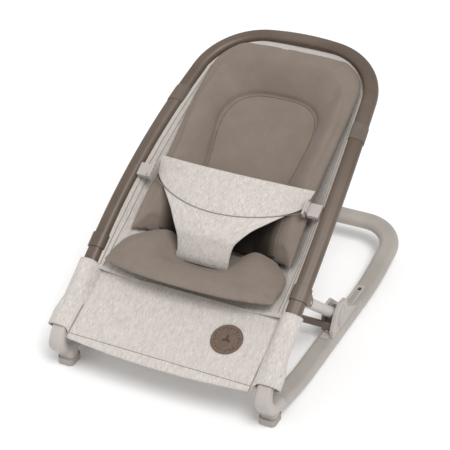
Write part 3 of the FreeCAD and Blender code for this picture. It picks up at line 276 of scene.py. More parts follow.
# %% Zinc-plated steel
def plated_steel():
    material, tree, surface = new_material("zinc-plated steel", metallic=1.0, roughness=0.35)
    spot = add(tree, "ShaderNodeTexCoord").outputs["Object"]
    blotch = add(tree, "ShaderNodeTexNoise", {"Vector": spot, "Scale": 400.0, "Detail": 4.0})
    rough = add(tree, "ShaderNodeMapRange", {"Value": blotch.outputs["Fac"], "To Min": 0.28, "To Max": 0.45})
    finish_with(tree, surface, ramp(tree, blotch.outputs["Fac"], [(0.3, "#b4b4b2"), (0.7, "#c9c9c6")]),
                rough.outputs["Result"])
    return material


FINISH["steel"] = plated_steel()

# %% [markdown]
# ## Cloth finishes
# The pale cloth is a melange: yarn spun from light and greige fibres, woven
# plain.  To the eye it is a pale ground with short flecks that run with the
# warp, so its pattern follows each piece's own UV map, which is in metres.
# The liner is a brushed jersey, all one taupe, with a soft sheen at grazing
# angles and a very fine knit.

# %% Melange, jersey and leather
THREAD = 1.1 * MM


def melange(name, pale, mid, deep, weave=0.55):
    material, tree, surface = new_material(name, roughness=0.92, sheen_weight=0.15, sheen_roughness=0.5)
    place = add(tree, "ShaderNodeUVMap", uv_map="UVMap").outputs["UV"]
    fleck_map = add(tree, "ShaderNodeMapping", {"Vector": place, "Scale": (1 / (0.9 * MM), 1 / (9 * MM), 1)})
    fleck = add(tree, "ShaderNodeTexNoise",
                {"Vector": fleck_map.outputs["Vector"], "Scale": 1.0, "Detail": 3.0, "Roughness": 0.65})
    wide_map = add(tree, "ShaderNodeMapping", {"Vector": place, "Scale": (1 / (7 * MM), 1 / (24 * MM), 1)})
    wide = add(tree, "ShaderNodeTexNoise",
               {"Vector": wide_map.outputs["Vector"], "Scale": 1.0, "Detail": 2.0})
    mixed = add(tree, "ShaderNodeMix", {"Factor": 0.2, "A": fleck.outputs["Fac"], "B": wide.outputs["Fac"]})
    thread_map = add(tree, "ShaderNodeMapping", {"Vector": place, "Scale": (1 / THREAD, 1 / THREAD, 1)})
    warp, weft = (
        add(tree, "ShaderNodeTexWave",
            {"Vector": thread_map.outputs["Vector"], "Scale": 0.5, "Distortion": 0.6}, bands_direction=way)
        for way in ("X", "Y"))
    cross = add(tree, "ShaderNodeMath", {0: warp.outputs["Fac"], 1: weft.outputs["Fac"]},
                operation="MULTIPLY")
    height = add(tree, "ShaderNodeMix",
                 {"Factor": 0.5, "A": cross.outputs["Value"], "B": fleck.outputs["Fac"]})
    base = ramp(tree, mixed.outputs["Result"], [(0.36, deep), (0.5, mid), (0.62, pale)])
    finish_with(tree, surface, base, None, height.outputs["Result"], weave, 0.35 * MM)
    return material


def jersey(name, light, dark):
    material, tree, surface = new_material(name, roughness=0.9, sheen_weight=0.12, sheen_roughness=0.4)
    spot = add(tree, "ShaderNodeTexCoord").outputs["Object"]
    drift = add(tree, "ShaderNodeTexNoise", {"Vector": spot, "Scale": 30.0, "Detail": 5.0, "Roughness": 0.6})
    speck = add(tree, "ShaderNodeTexNoise", {"Vector": spot, "Scale": 1 / (1.3 * MM), "Detail": 2.0})
    mixed = add(tree, "ShaderNodeMix", {"Factor": 0.5, "A": drift.outputs["Fac"], "B": speck.outputs["Fac"]})
    knit = add(tree, "ShaderNodeTexVoronoi", {"Vector": spot, "Scale": 1 / (1.2 * MM)})
    base = ramp(tree, mixed.outputs["Result"], [(0.35, dark), (0.65, light)])
    finish_with(tree, surface, base, None, knit.outputs["Distance"], 0.22, 0.3 * MM)
    return material


def leather(name, light, dark):
    material, tree, surface = new_material(name, roughness=0.55)
    spot = add(tree, "ShaderNodeTexCoord").outputs["Object"]
    pore = add(tree, "ShaderNodeTexVoronoi", {"Vector": spot, "Scale": 1 / (1.4 * MM)})
    tone = add(tree, "ShaderNodeTexNoise", {"Vector": spot, "Scale": 160.0, "Detail": 5.0})
    rough = add(tree, "ShaderNodeMapRange", {"Value": tone.outputs["Fac"], "To Min": 0.45, "To Max": 0.68})
    finish_with(tree, surface, ramp(tree, tone.outputs["Fac"], [(0.3, dark), (0.7, light)]),
                rough.outputs["Result"], pore.outputs["Distance"], 0.35, 0.4 * MM)
    return material


FINISH["melange_fabric"] = melange("melange cloth", "#d3cdc8", "#c4bdb7", "#aea59d")
FINISH["inlay_fabric"] = jersey("taupe jersey", "#83776d", "#786c62")
FINISH["patch_leather"] = leather("brown patch leather", "#6f5c4e", "#5c4a3e")
# A darker copy of the melange: painted shade for the strap's fold where it turns under into the seat.
SHADED_CLOTH = melange("melange cloth with painted shade", "#b9b4ae", "#a39e98", "#88827c")
STITCH = jersey("grey stitching", "#8f8a85", "#7d7873")
PIPING = jersey("taupe piping", "#6f6359", "#5f544b")


def crease_shade_cloth():
    """Painted shade: jersey colour that darkens from its sides to its middle, standing in for the shadow deep
    in the crease.
    """
    material, tree, surface = new_material("jersey with painted crease shade", roughness=0.95)
    place = add(tree, "ShaderNodeUVMap", uv_map="UVMap").outputs["UV"]
    split = add(tree, "ShaderNodeSeparateXYZ", {"Vector": place})
    off = add(tree, "ShaderNodeMath", {0: split.outputs["X"], 1: 0.5}, operation="SUBTRACT")
    side = add(tree, "ShaderNodeMath", {0: off.outputs["Value"]}, operation="ABSOLUTE")
    # painted shade: near black in the middle of the sheet, fading to the liner's taupe at its sides
    base = ramp(tree, side.outputs["Value"], [(0.34, "#1f1813"), (0.42, "#3a3028"), (0.5, "#75695f")])
    finish_with(tree, surface, base)
    return material


CREASE_SHADE_JERSEY = crease_shade_cloth()
STAMPED = leather("stamped leather", "#43352b", "#382c24")

# %% [markdown]
# Each frame node takes the finish of its material slot.

# %% Finish the frame
slot_of = {part["node"]: part["material_slot"] for part in frame["record"]["subparts"]}
for name, obj in nodes.items():
    finish = slot_of[name]
    if name.startswith("leg_bracket"):
        finish = "frame_paint"
    elif name.startswith("belt_anchor"):
        finish = "grey_plastic"
    obj.data.materials.clear()
    obj.data.materials.append(FINISH[finish])
print("finished", len(nodes), "frame nodes")

# %% [markdown]
# The elbows' outer cheeks taper in under the sleeves, which pull tight there.

# %% Elbow cheeks
CHEEK = 196 * MM
for side_name in ("left", "right"):
    elbow = nodes["elbow_" + side_name]
    slim = elbow.copy()
    slim.data = elbow.data.copy()
    slim.name = "slim_elbow_" + side_name
    bpy.context.scene.collection.objects.link(slim)
    for vert in slim.data.vertices:
        over = abs(vert.co.x) - CHEEK
        if over > 0:
            keep = 1 - 0.55 * smooth(vert.co.z, 30 * MM, 75 * MM)
            vert.co.x = math.copysign(CHEEK + over * keep, vert.co.x)
    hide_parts("elbow_" + side_name)
    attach(slim, "base")

# %% [markdown]
# ## Sheets of cloth
# A sewn panel is made from one flat grid that is moved into place point by
# point, then given its thickness.  Its UV map is rewritten in metres, so that
# the weave has one size on every piece.

# %% Sheet helper
def new_piece(name, bm, material):
    mesh = bpy.data.meshes.new(name)
    bm.to_mesh(mesh)
    bm.free()
    mesh.shade_smooth()
    obj = bpy.data.objects.new(name, mesh)
    bpy.context.scene.collection.objects.link(obj)
    mesh.materials.append(material)
    return obj


def sheet_piece(name, columns, rows, place, size, thick, material, offset=-1.0):
    """Cloth from a grid: place(u, v) gives each point, u and v from 0 to 1."""
    bm = bmesh.new()
    bmesh.ops.create_grid(bm, x_segments=columns, y_segments=rows, size=0.5, calc_uvs=True)
    layer = bm.loops.layers.uv.verify()
    for face in bm.faces:
        for loop in face.loops:
            flat = loop.vert.co
            loop[layer].uv = ((flat.x + 0.5) * size[0], (flat.y + 0.5) * size[1])
    for vert in bm.verts:
        vert.co = place(vert.co.x + 0.5, vert.co.y + 0.5)
    bmesh.ops.remove_doubles(bm, verts=bm.verts, dist=0.001 * MM)
    obj = new_piece(name, bm, material)
    obj.data.uv_layers[0].name = "UVMap"
    if thick:
        wall = obj.modifiers.new("thickness", "SOLIDIFY")
        wall.thickness = thick
        wall.offset = offset
    return obj


def cut_from(piece, place):
    """Print a cloth piece's flat size, measured along its threads, and its area."""
    def longest(point):
        lines = [[point(i / 60, j / 8) for i in range(61)] for j in range(9)]
        return max(sum((b - a).length for a, b in zip(line, line[1:])) for line in lines)

    width, length = longest(place), longest(lambda along_it, across_it: place(across_it, along_it))
    area = sum(face.area for face in piece.data.polygons)
    print(piece.name, "cut to", round(width, 3), "x", round(length, 3), "m, area", round(area, 4), "m2")


def thread(name, points, radius, material, closed=False):
    """Seam, piping or cord stitched on a surface: a thin round line through the points."""
    data = bpy.data.curves.new(name, "CURVE")
    data.dimensions = "3D"
    data.bevel_depth = radius
    data.bevel_resolution = 3
    data.use_fill_caps = True
    spline = data.splines.new("NURBS")
    spline.points.add(len(points) - 1)
    for knot, point in zip(spline.points, points):
        knot.co = (*point, 1)
    spline.order_u = 3
    spline.use_cyclic_u = closed
    spline.use_endpoint_u = not closed
    data.materials.append(material)
    line = bpy.data.objects.new(name + "_line", data)
    bpy.context.scene.collection.objects.link(line)
    graph = bpy.context.evaluated_depsgraph_get()
    obj = bpy.data.objects.new(name, bpy.data.meshes.new_from_object(line.evaluated_get(graph)))
    bpy.data.objects.remove(line)
    bpy.context.scene.collection.objects.link(obj)
    return obj


# %% [markdown]
# ## Front panel
# A flat trapezoid of melange cloth closes the front between the two sleeves.
# Below its hem seam a bowed flap hangs free.  It crosses the seat hinge.

# %% Front panel
PANEL_ANGLE = math.radians(26.6)
PANEL_HALF, PANEL_LENGTH, HEM_BOW = 168 * MM, 140 * MM, 9 * MM
HEM_CORNER = from_hinge(0, -35.8 * MM, -13.2 * MM)


def on_panel(x, reach, lift):
    up = min(max(reach / PANEL_LENGTH, 0), 1)
    sag = 2.2 * MM * math.cos(x / PANEL_HALF * math.pi / 2) * math.sin(up * math.pi)
    ripple = 0.5 * MM * noise.noise(Vector((x * 30, reach * 22, 0)))
    raised = above(PANEL_ANGLE) * (lift - sag + ripple)
    return HEM_CORNER + along(PANEL_ANGLE) * reach + raised + Vector((x, 0, 0))


def panel_place(u, v):
    x = (2 * u - 1) * PANEL_HALF
    bow = HEM_BOW * (1 - (x / PANEL_HALF) ** 2) * (1 - v)
    reach = PANEL_LENGTH * v - bow
    lip = -1.5 * MM * (1 - smooth(v, 0, 0.06))
    return on_panel(x, reach, lip)


panel = sheet_piece("front_panel", 96, 56, panel_place, (2 * PANEL_HALF, PANEL_LENGTH), 2.4 * MM,
                    FINISH["melange_fabric"])
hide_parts("front_cover")
cut_from(panel, panel_place)


def cross_blend(piece):
    """Cloth over the seat hinge: its placement is baked into the mesh."""
    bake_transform(piece)


hem_seam = [on_panel((2 * i / 24 - 1) * PANEL_HALF, 9 * MM, 0.2 * MM) for i in range(25)]
seams = [thread("hem_seam", hem_seam, 0.55 * MM, STITCH)]

# %% [markdown]
# ## Sleeves
# Each side of the panel runs into a sleeve that pulls over the side tube.
# Its section is a teardrop: round the tube, drawn out to the seam with the
# panel.  The sleeve also hides the fork of the elbow.

# %% Sleeves
SLEEVE_START, SLEEVE_END, SLEEVE_SEAM = 1 * MM, 127 * MM, 137 * MM


def sleeve_place(side):
    def place(u, v):
        turn = 2 * math.pi * u
        reach = SLEEVE_START + (SLEEVE_END - SLEEVE_START) * v
        flare = 1 - smooth(reach, 20 * MM, 62 * MM)
        wide = 16.6 * MM + 3.4 * MM * flare
        tall = (12.9 if math.sin(turn) > 0 else 14.5) * MM
        middle = TUBE_SPAN + 3.6 * MM * flare
        x = middle + wide * math.cos(turn)
        lift = tall * math.sin(turn)
        pull = max(0, -math.cos(turn - math.radians(12))) ** 5
        crease = 0.6 * MM * noise.noise(Vector((turn * 1.5, reach * 40, side * 3)))
        round_tube = on_seat(side * x, reach, lift + crease)
        return round_tube.lerp(on_panel(side * (PANEL_HALF - 0.6 * MM), SLEEVE_SEAM * v, -1 * MM), pull)
    return place


for side_name, side in (("left", -1), ("right", 1)):
    sleeve = sheet_piece("sleeve_" + side_name, 56, 30, sleeve_place(side), (95 * MM, 126 * MM), 1.8 * MM,
                         FINISH["melange_fabric"], offset=-1.0 if side > 0 else 1.0)
    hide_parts("front_cover")
    cut_from(sleeve, sleeve_place(side))
    cross_blend(sleeve)
    edge = [on_panel(side * PANEL_HALF, (PANEL_LENGTH - 4 * MM) * i / 16, 0.9 * MM) for i in range(17)]
    seams.append(thread("side_seam_" + side_name, edge, 0.9 * MM, STITCH))
cross_blend(panel)
print("front panel", round(2 * PANEL_HALF, 3), "m wide")

# %% [markdown]
# ## Slung seat
# One piece of melange cloth hangs inside the hoop like a hammock: steep at its
# sides, level across.  Its rim shows as pale strips beside the liner.

# %% Slung seat
SLING = [(118 * MM, 12 * MM), (228 * MM, 76 * MM), (381 * MM, 66 * MM),
         (534 * MM, 46 * MM), (640 * MM, 13 * MM)]


def between(stations, reach):
    """Depth at a reach, eased between the stations."""
    for (low, first), (high, last) in zip(stations, stations[1:]):
        if reach <= high:
            return first + (last - first) * min(max((reach - low) / (high - low), 0), 1)
    return stations[-1][1]


SLING_START, SLING_END = 119 * MM, HOOP_TOP - 13 * MM
SLING_INSET = 14.5 * MM


def bowl(part, depth, edge):
    """Lift of a hung cloth: edge height at its sides, depth in the middle."""
    return edge - (depth + edge) * (1 - abs(part) ** 3.2)


def sling_place(u, v):
    part = math.sin((u - 0.5) * math.pi)
    reach = SLING_START + (SLING_END - SLING_START) * math.sin(v * math.pi / 2)
    wide = half_width(reach, SLING_INSET)
    top_ease = smooth(reach, 560 * MM, SLING_END)
    depth = between(SLING, reach) * (1 - top_ease) + 3 * MM * top_ease
    edge = 1.5 * MM
    return on_seat(part * wide, reach, bowl(part, depth, edge))


sling = sheet_piece("slung_seat", 88, 110, sling_place, (0.42, 0.62), 1.8 * MM, FINISH["melange_fabric"])
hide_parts("seat_cover")
cut_from(sling, sling_place)
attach(sling, "seat")

for side_name, side in (("left", -1), ("right", 1)):
    for number, share in enumerate((0.972, 0.935)):
        line = []
        for i in range(60):
            reach = (126 + 440 * i / 59) * MM
            lift = bowl(share, between(SLING, reach), 1.5 * MM) + 0.5 * MM
            line.append(on_seat(side * share * half_width(reach, SLING_INSET), reach, lift))
        seam = thread("rim_seam_%s_%d" % (side_name, number + 1), line, 0.6 * MM, STITCH)
        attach(seam, "seat")

# %% [markdown]
# ## Padding by cloth simulation
# The liner is two sewn envelopes of jersey filled with wadding.  A closed form
# is remeshed to an even net and inflated a little by a cloth simulation, which
# gives the taut crown and soft rims that hand modelling misses.

# %% Padding helpers
def envelope(name, place, cuts, material):
    """Closed form from a cube grid: place(u, v, w), each from -1 to 1."""
    bm = bmesh.new()
    bmesh.ops.create_cube(bm, size=2)
    bmesh.ops.subdivide_edges(bm, edges=bm.edges, cuts=cuts, use_grid_fill=True)
    for vert in bm.verts:
        vert.co = place(*vert.co)
    bmesh.ops.recalc_face_normals(bm, faces=bm.faces)
    return new_piece(name, bm, material)


def settle(obj):
    """Apply every modifier of a piece."""
    graph = bpy.context.evaluated_depsgraph_get()
    mesh = bpy.data.meshes.new_from_object(obj.evaluated_get(graph))
    obj.modifiers.clear()
    obj.data = mesh
    mesh.shade_smooth()


def plump(obj, cap, voxel=5 * MM, pressure=4.0):
    """Remesh a padded piece, inflate it as cloth and round it off."""
    net = obj.modifiers.new("net", "REMESH")
    net.mode = "VOXEL"
    net.voxel_size = voxel
    settle(obj)
    relax = obj.modifiers.new("relax", "SMOOTH")
    relax.iterations = 4
    settle(obj)
    start = [vert.co.copy() for vert in obj.data.vertices]
    cloth = obj.modifiers.new("cloth", "CLOTH")
    cloth.settings.use_pressure = True
    cloth.settings.uniform_pressure_force = pressure
    cloth.settings.effector_weights.gravity = 0
    cloth.settings.quality = 4
    for number in range(1, 21):
        bpy.context.scene.frame_set(number)
    settle(obj)
    bpy.context.scene.frame_set(1)
    for vert, before in zip(obj.data.vertices, start):
        move = vert.co - before
        if move.length > cap:
            vert.co = before + move.normalized() * cap
    finer = obj.modifiers.new("finer", "SUBSURF")
    finer.levels = finer.render_levels = 1
    settle(obj)
    print(obj.name, "has", len(obj.data.polygons), "faces after padding")


# %% [markdown]
# ## Back of the liner
# A broad bolster runs up both sides and over the head.  Inside it a flatter
# panel is set in with a seam like a rounded arch.  Its lower corners reach
# forward as wings beside the seat pad.

# %% Back of the liner
LINER_TOP = HOOP_TOP - 33 * MM
ARCH_HALF, ARCH_TOP, ARCH_TURN = 89 * MM, 540 * MM, 450 * MM


def arch_gap(x, reach):
    """Signed distance outside the arch seam, near enough for shaping."""
    half = ARCH_HALF - 0.13 * max(0.47 - reach, 0)
    if reach < ARCH_TURN:
        return abs(x) - half
    tall = ARCH_TOP - ARCH_TURN
    ratio = ((abs(x) / half) ** 3 + ((reach - ARCH_TURN) / tall) ** 3) ** (1 / 3)
    return (ratio - 1) * (half + tall) / 2


def liner_half(reach):
    inset = 18 * MM + 17 * MM * (1 - smooth(reach, 330 * MM, 560 * MM))
    return half_width(reach, inset)


LINER_DEPTH = [(190 * MM, 54 * MM), (228 * MM, 76 * MM), (381 * MM, 66 * MM),
               (534 * MM, 47 * MM), (640 * MM, 12 * MM)]


def liner_edge(reach):
    """Lift of the liner's side edge beside the tube."""
    return (-14 + 11 * smooth(reach, 300 * MM, 560 * MM)) * MM


def back_place(u, v, w):
    low = 226 * MM - 30 * MM * abs(u) ** 2.5
    up = (v + 1) / 2
    reach = low + (LINER_TOP - low) * math.sin(up * math.pi / 2)
    wide = liner_half(reach)
    part = math.sin(u * math.pi / 2)
    x = part * wide
    top_ease = smooth(reach, 540 * MM, LINER_TOP)
    depth = between(LINER_DEPTH, reach) * (1 - top_ease) + 8 * MM * top_ease
    rest = bowl(part, depth - 9 * MM, liner_edge(reach) + 3 * MM)
    gap = arch_gap(x, reach)
    rim_gap = min(wide - abs(x), (LINER_TOP - reach) * 1.2)
    full = gap + rim_gap
    share = min(max(gap / full, 0), 1) if full > 0 else 1
    bolster = 25 * MM * math.sin(share * math.pi) ** 0.8 if gap > 0 else 0
    thick = 8 * MM + bolster
    for side in (-1, 1):
        dimple = math.exp(-(((x - side * 104 * MM) / (20 * MM)) ** 2 + ((reach - 556 * MM) / (34 * MM)) ** 2))
        thick -= 10 * MM * dimple
    rim = (1 - abs(u) ** 8) * (1 - abs(v) ** 10)
    thick = 5 * MM + (thick - 5 * MM) * max(rim, 0) ** 0.5
    return on_seat(x, reach, rest + thick * (w + 1) / 2)


back = envelope("liner_back", back_place, 47, FINISH["inlay_fabric"])
plump(back, 4.5 * MM)


def groove(obj, distance, depth, width):
    """Press a stitched line into a padded piece; distance(point) says how far off it lies."""
    obj.data.update()
    normals = [vert.normal.copy() for vert in obj.data.vertices]
    for vert, normal in zip(obj.data.vertices, normals):
        off = distance(vert.co)
        if off is not None and abs(off) < 3 * width:
            vert.co -= normal * depth * math.exp(-(off / width) ** 2)


STEP = 0.0025
MARKS = [(0.18 + STEP * i, on_seat(0, 0.18 + STEP * i, 0)) for i in range(200)]


def reach_of(point):
    """How far up the hoop a point lies."""
    best = min(MARKS, key=lambda mark: (mark[1].y - point.y) ** 2 + (mark[1].z - point.z) ** 2)
    base = best[1]
    ahead = on_seat(0, best[0] + STEP, 0) - base
    return best[0] + (point - base).dot(ahead) / ahead.length


def off_arch(point):
    if point.y < HINGE.y + 0.2:
        return None
    reach = reach_of(point)
    return arch_gap(point.x, reach)


groove(back, off_arch, 3.2 * MM, 3.5 * MM)
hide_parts("inlay_back")
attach(back, "seat")

# %% [markdown]
# The arch seam itself is a thin cord of thread.  Its height is found by
# looking straight down on the padded surface.

# %% Arch seam
def lay_on(obj, point, direction, sink=0.0):
    """Drop a point on a piece along a direction."""
    hit, place, normal, _ = obj.ray_cast(point - direction * 0.12, direction)
    return place + normal * sink if hit else point + direction * 0.1


bpy.context.view_layer.update()
down = -above(BACK)


def arch_points():
    points = []
    for i in range(22):
        reach = (300 + (445 - 300) * i / 21) * MM
        points.append((-(ARCH_HALF - 0.13 * max(0.47 - reach, 0)), reach))
    half = ARCH_HALF - 0.13 * (0.47 - ARCH_TURN)
    for i in range(1, 40):
        turn = math.pi * i / 40
        c, s = math.cos(turn), math.sin(turn)
        rise = s ** (2 / 3) * (ARCH_TOP - ARCH_TURN)
        points.append((-math.copysign(abs(c) ** (2 / 3), c) * half, ARCH_TURN + rise))
    return points + [(-x, reach) for x, reach in points[:22][::-1]]


arch = [lay_on(back, on_seat(x, reach, 30 * MM), down, 0.1 * MM) for x, reach in arch_points()]
arch_seam = thread("arch_seam", arch, 0.7 * MM, PIPING)
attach(arch_seam, "seat")

# %% [markdown]
# ## Seat pad
# The seat part of the liner is a shield-shaped flap.  It bows forward over the
# front panel, rises to a crest under the thighs and drops into the dark
# crease behind.

# %% Seat pad
def pad_front(x):
    return 62 * MM + 22 * MM * abs(x / (160 * MM)) ** 3


PAD_REAR = 212 * MM


def pad_place(u, v, w):
    up = (v + 1) / 2
    part = math.sin(u * math.pi / 2)
    half = (162 - 20 * smooth(up, 0.2, 1.0) - 30 * smooth(up, 0.55, 1.0)) * MM
    x = part * half
    front = pad_front(x)
    back_off = front + (PAD_REAR - front) * up
    top = (80 + 12 * smooth(up, 0.0, 0.55) - 34 * smooth(up, 0.82, 1.0)) * MM
    thigh = 5 * MM * math.sin(min(abs(x) / (150 * MM), 1) * math.pi) * smooth(up, 0.3, 0.8)
    strap_dip = 25 * MM * math.exp(-abs(x / (70 * MM)) ** 5) * smooth(up, 0.22, 0.5)
    side_drop = 7 * MM * abs(part) ** 5
    top += thigh - strap_dip - side_drop
    outer = abs(part) ** 3
    bottom = (68 + 3 * smooth(up, 0.0, 0.2) - 17 * smooth(up, 0.1, 0.5) * (1 - outer)
              + 8 * smooth(up, 0.5, 0.9) * outer) * MM
    rim = max((1 - abs(u) ** 14) * (1 - abs(v) ** 14), 0) ** 0.5
    height = bottom + (top - bottom) * (w + 1) / 2
    edge = top - 7 * MM
    height = edge + (height - edge) * (0.35 + 0.65 * rim)
    return from_hinge(x, back_off - 11 * MM, height + 7 * MM)


pad = envelope("seat_pad", pad_place, 39, FINISH["inlay_fabric"])
plump(pad, 4 * MM)
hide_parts("inlay_seat")
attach(pad, "seat")

for number, drop in enumerate((0.0, 5.5)):
    line = []
    for i in range(49):
        x = (i / 24 - 1) * 153 * MM
        hit, place, normal, _ = pad.ray_cast(from_hinge(x, -0.05, (71.5 - drop) * MM), Vector((0, 1, 0)))
        if hit:
            line.append(place + normal * 0.3 * MM)
    if len(line) > 8:
        piping = thread("pad_piping_%d" % (number + 1), line, 1.3 * MM, PIPING)
        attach(piping, "seat")

# %% [markdown]
# A dark sheet of painted shade lies deep in the crease between the pad and the back,
# standing in for the shadow there.

# %% Painted shade in the crease
def crease_shade_place(u, v):
    x = (2 * u - 1) * 110 * MM
    reach = (228 + 68 * v) * MM
    top = on_seat(x, reach, 40 * MM)
    return lay_on(back, top, -above(LOWER), 1.4 * MM)


# a dark sheet laid over the liner in the crease: painted shade
crease_shade_sheet = sheet_piece("painted_crease_shade", 60, 24, crease_shade_place, (1, 1), 0.8 * MM, CREASE_SHADE_JERSEY,
                     offset=0.0)
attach(crease_shade_sheet, "seat")

# %% [markdown]
# ## Belly belt
# A T of stiffened melange cloth: the band lies over the baby's tummy and the
# strap comes up between the legs.  The band is a deep D whose curved seam
# joins the flared strap.

# %% Belly belt
BELT_HALF, STRAP_LENGTH = 145 * MM, 176 * MM
CROWN = Vector((0, 241.0 * MM, 202.0 * MM))
NARROW = Vector((0, 145.6 * MM, 141.7 * MM))
STRAP_FOOT = Vector((0, 129.4 * MM, 80.0 * MM))


def belt_line(down_the_belt):
    """Side view of the belt's middle, so far from its top edge."""
    run, drop = (NARROW - CROWN).length, (STRAP_FOOT - NARROW).length
    first = CROWN + (NARROW - CROWN) * (down_the_belt / run)
    second = NARROW + (STRAP_FOOT - NARROW) * ((down_the_belt - run) / drop)
    turn = smooth(down_the_belt, run - 26 * MM, run + 26 * MM)
    corner = 5 * MM * math.sin(turn * math.pi)
    return first * (1 - turn) + second * turn + Vector((0, 0.3, -0.9)) * corner


def on_belt(x, down_the_belt, lift=0.0):
    spread = (x / (145 * MM)) ** 2
    share = min(down_the_belt / (40 * MM), 2)
    back_off, sink = (30 + 3 * share) * MM, (16 + 3 * share) * MM
    point = belt_line(down_the_belt) + Vector((0, back_off, -sink)) * spread
    tilt = smooth(down_the_belt, 80 * MM, 130 * MM)
    outward = (Vector((0, -0.49, 0.87)) * (1 - tilt) + Vector((0, -0.96, 0.26)) * tilt)
    return HINGE + point + Vector((x, 0, 0)) + outward * lift


def seam_drop(x):
    return (40 + 40 * (1 - (x / BELT_HALF) ** 2)) * MM


def band_place(u, v):
    x = math.sin((u - 0.5) * math.pi) * BELT_HALF
    crown = 2.2 * MM * math.sin(v * math.pi) * (1 - abs(x / BELT_HALF) ** 4)
    end = 1 - 0.16 * abs(x / BELT_HALF) ** 8 * (1 - v) ** 2
    return on_belt(x * (1 - 0.05 * (1 - v) * abs(x / BELT_HALF) ** 6), seam_drop(x) * (1 - v) * end, crown)


def strap_half(t):
    return (48 + 66 * (1 - t) ** 3.2) * MM


def strap_place(u, v):
    t = 1 - v
    x = (2 * u - 1) * strap_half(t)
    down_the_belt = seam_drop(x) * (1 - t) + STRAP_LENGTH * t
    crown = 1.6 * MM * math.sin(u * math.pi) * smooth(t, 0, 0.2)
    return on_belt(x, down_the_belt, crown - 0.4 * MM)


def fold_place(u, v):
    x = (2 * u - 1) * 48.6 * MM
    roll = 2.2 * MM * math.sin(v * math.pi)
    return on_belt(x, STRAP_LENGTH - 15 * MM * v, 1.9 * MM + roll)


belt_pieces = [
    sheet_piece("belt_band", 72, 30, band_place, (2 * BELT_HALF, 82 * MM), 3.6 * MM,
                FINISH["melange_fabric"]),
    sheet_piece("belt_strap", 56, 60, strap_place, (110 * MM, 120 * MM), 3.2 * MM, FINISH["melange_fabric"]),
    # the fold wears the darker melange copy, painted shade
    sheet_piece("strap_fold", 30, 10, fold_place, (96 * MM, 12 * MM), 1.4 * MM, SHADED_CLOTH),
    thread("belt_seam", [on_belt(x, seam_drop(x), 0.6 * MM) for x in
                         [(i / 20 - 1) * 138 * MM for i in range(41)]], 0.5 * MM, STITCH),
]
for piece in belt_pieces:
    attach(piece, "seat")
for piece, place in zip(belt_pieces, (band_place, strap_place)):
    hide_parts("belly_belt")
    cut_from(piece, place)

# %% [markdown]
# ## Tabs
# Two tabs of jersey wrap the side tubes and hold the liner's shoulders.

# %% Tabs
TAB_REACH, TAB_LENGTH = 466 * MM, 34 * MM


def tab_place(side):
    def place(u, v):
        turn = 2 * math.pi * u
        reach = TAB_REACH + TAB_LENGTH * v
        flat = TUBE_WIDE / 2 - TUBE_THICK / 2
        grow = TUBE_THICK / 2 + 1.1 * MM + 0.25 * MM * math.sin(v * math.pi)
        wide = math.copysign(flat, math.cos(turn)) * min(abs(math.cos(turn)) * 4, 1) + grow * math.cos(turn)
        tall = grow * math.sin(turn)
        x = wide * math.cos(TUBE_TILT) + tall * math.sin(TUBE_TILT)
        lift = -wide * math.sin(TUBE_TILT) + tall * math.cos(TUBE_TILT)
        return on_seat(side * (tube_span(reach) + x), reach, lift)
    return place


for side_name, side in (("left", -1), ("right", 1)):
    tab = sheet_piece("liner_tab_" + side_name, 48, 12, tab_place(side), (80 * MM, 34 * MM), 1.1 * MM,
                      PIPING, offset=1.0 if side > 0 else -1.0)
    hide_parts("inlay_tab_" + side_name)
    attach(tab, "seat")

# %% [markdown]
# ## Round patch
# A leather disc with a raised rim and a plain ring of dots, sewn on the panel.

# %% Round patch
PATCH = centre("badge")
PATCH_RADIUS = 27.5 * MM


def patch_disc():
    bm = bmesh.new()
    bmesh.ops.create_circle(bm, cap_ends=True, segments=96, radius=PATCH_RADIUS)
    steps = ((1.2, 0.9), (1.4, -0.5), (5.2, 0.0), (0.8, -0.35), (0.8, 0.35))
    base = list(bm.faces)
    lifted = bmesh.ops.extrude_face_region(bm, geom=base)["geom"]
    top = [item for item in lifted if isinstance(item, bmesh.types.BMFace)]
    bmesh.ops.translate(bm, vec=(0, 0, 1.1 * MM), verts=list({v for face in top for v in face.verts}))
    for inset, rise in steps:
        bmesh.ops.inset_region(bm, faces=top, thickness=inset * MM, depth=0.0)
        bmesh.ops.translate(bm, vec=(0, 0, rise * MM), verts=list({v for face in top for v in face.verts}))
    return bm


def stand_on_panel(bm, x, reach, lift):
    turn = Vector((0, 0, 1)).rotation_difference(above(PANEL_ANGLE)).to_matrix()
    spot = HEM_CORNER + along(PANEL_ANGLE) * reach + above(PANEL_ANGLE) * lift + Vector((x, 0, 0))
    bmesh.ops.rotate(bm, cent=(0, 0, 0), matrix=turn, verts=bm.verts)
    bmesh.ops.translate(bm, vec=spot, verts=bm.verts)


patch_x = PATCH.x
patch_reach = (PATCH - HEM_CORNER).dot(along(PANEL_ANGLE))
disc = patch_disc()
stand_on_panel(disc, patch_x, patch_reach, -0.8 * MM)
patch = new_piece("round_patch", disc, FINISH["patch_leather"])
patch.data.shade_flat()
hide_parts("badge")
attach(patch, "seat")

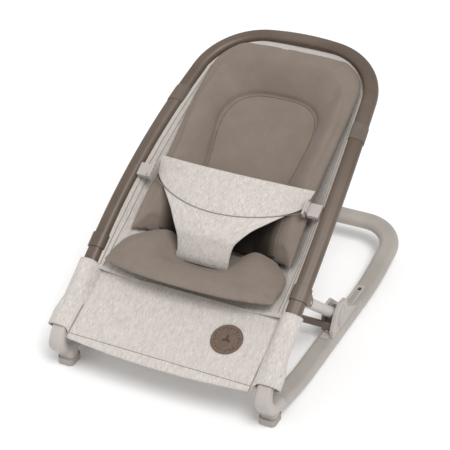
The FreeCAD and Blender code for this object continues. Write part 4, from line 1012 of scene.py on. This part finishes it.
dots = bmesh.new()
for i in range(20):
    turn = 2 * math.pi * i / 20
    made = bmesh.ops.create_uvsphere(dots, u_segments=10, v_segments=6, radius=1.25 * MM)["verts"]
    bmesh.ops.scale(dots, vec=(1, 1, 0.4), verts=made)
    bmesh.ops.translate(dots, vec=(21 * MM * math.cos(turn), 21 * MM * math.sin(turn), 0), verts=made)
for turn in (0, 1, 2):
    made = bmesh.ops.create_uvsphere(dots, u_segments=20, v_segments=10, radius=3.6 * MM)["verts"]
    bmesh.ops.scale(dots, vec=(0.6, 1.3, 0.25), verts=made)
    bmesh.ops.translate(dots, vec=(0, 4.2 * MM, 0), verts=made)
    spin = Vector((0, 1, 0)).rotation_difference(Vector((math.sin(turn * 2.094), math.cos(turn * 2.094), 0)))
    bmesh.ops.rotate(dots, cent=(0, 0, 0), matrix=spin.to_matrix(), verts=made)
stand_on_panel(dots, patch_x, patch_reach, 0.65 * MM)
emboss = new_piece("patch_emboss", dots, STAMPED)
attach(emboss, "seat")

for seam in seams:
    cross_blend(seam)

# %% [markdown]
# ## Room and light
# A pale floor, an even white surround and one large soft key from the right,
# as in a product studio, so that the contact shadows stay gentle.

# %% Floor and lights
floor_mesh = bmesh.new()
bmesh.ops.create_grid(floor_mesh, x_segments=1, y_segments=1, size=6)
mesh = bpy.data.meshes.new("floor")
floor_mesh.to_mesh(mesh)
floor_mesh.free()
floor = bpy.data.objects.new("floor", mesh)
bpy.context.scene.collection.objects.link(floor)
floor_paint, _, floor_surface = new_material("pale floor", roughness=0.85)
floor_surface.inputs["Base Color"].default_value = colour("#fbfbfb")
mesh.materials.append(floor_paint)

world = bpy.data.worlds.new("studio")
bpy.context.scene.world = world
world.use_nodes = True
world.node_tree.nodes["Background"].inputs["Color"].default_value = (1, 1, 1, 1)
world.node_tree.nodes["Background"].inputs["Strength"].default_value = 0.62


def soft_light(name, place, power, size):
    data = bpy.data.lights.new(name, "AREA")
    data.energy = power
    data.size = size
    lamp = bpy.data.objects.new(name, data)
    lamp.location = place
    lamp.rotation_euler = (Vector((0, 0, 0.2)) - Vector(place)).to_track_quat("-Z", "Y").to_euler()
    bpy.context.scene.collection.objects.link(lamp)


key_data = bpy.data.lights.new("key", "SUN")
key_data.energy, key_data.angle = 1.9, math.radians(28)
key = bpy.data.objects.new("key", key_data)
key.rotation_euler = Vector((-0.5, 0.42, -1.0)).to_track_quat("-Z", "Y").to_euler()
bpy.context.scene.collection.objects.link(key)
soft_light("fill", (-1.8, -1.6, 1.4), 8, 2.0)

# %% Update the scene
bpy.context.view_layer.update()
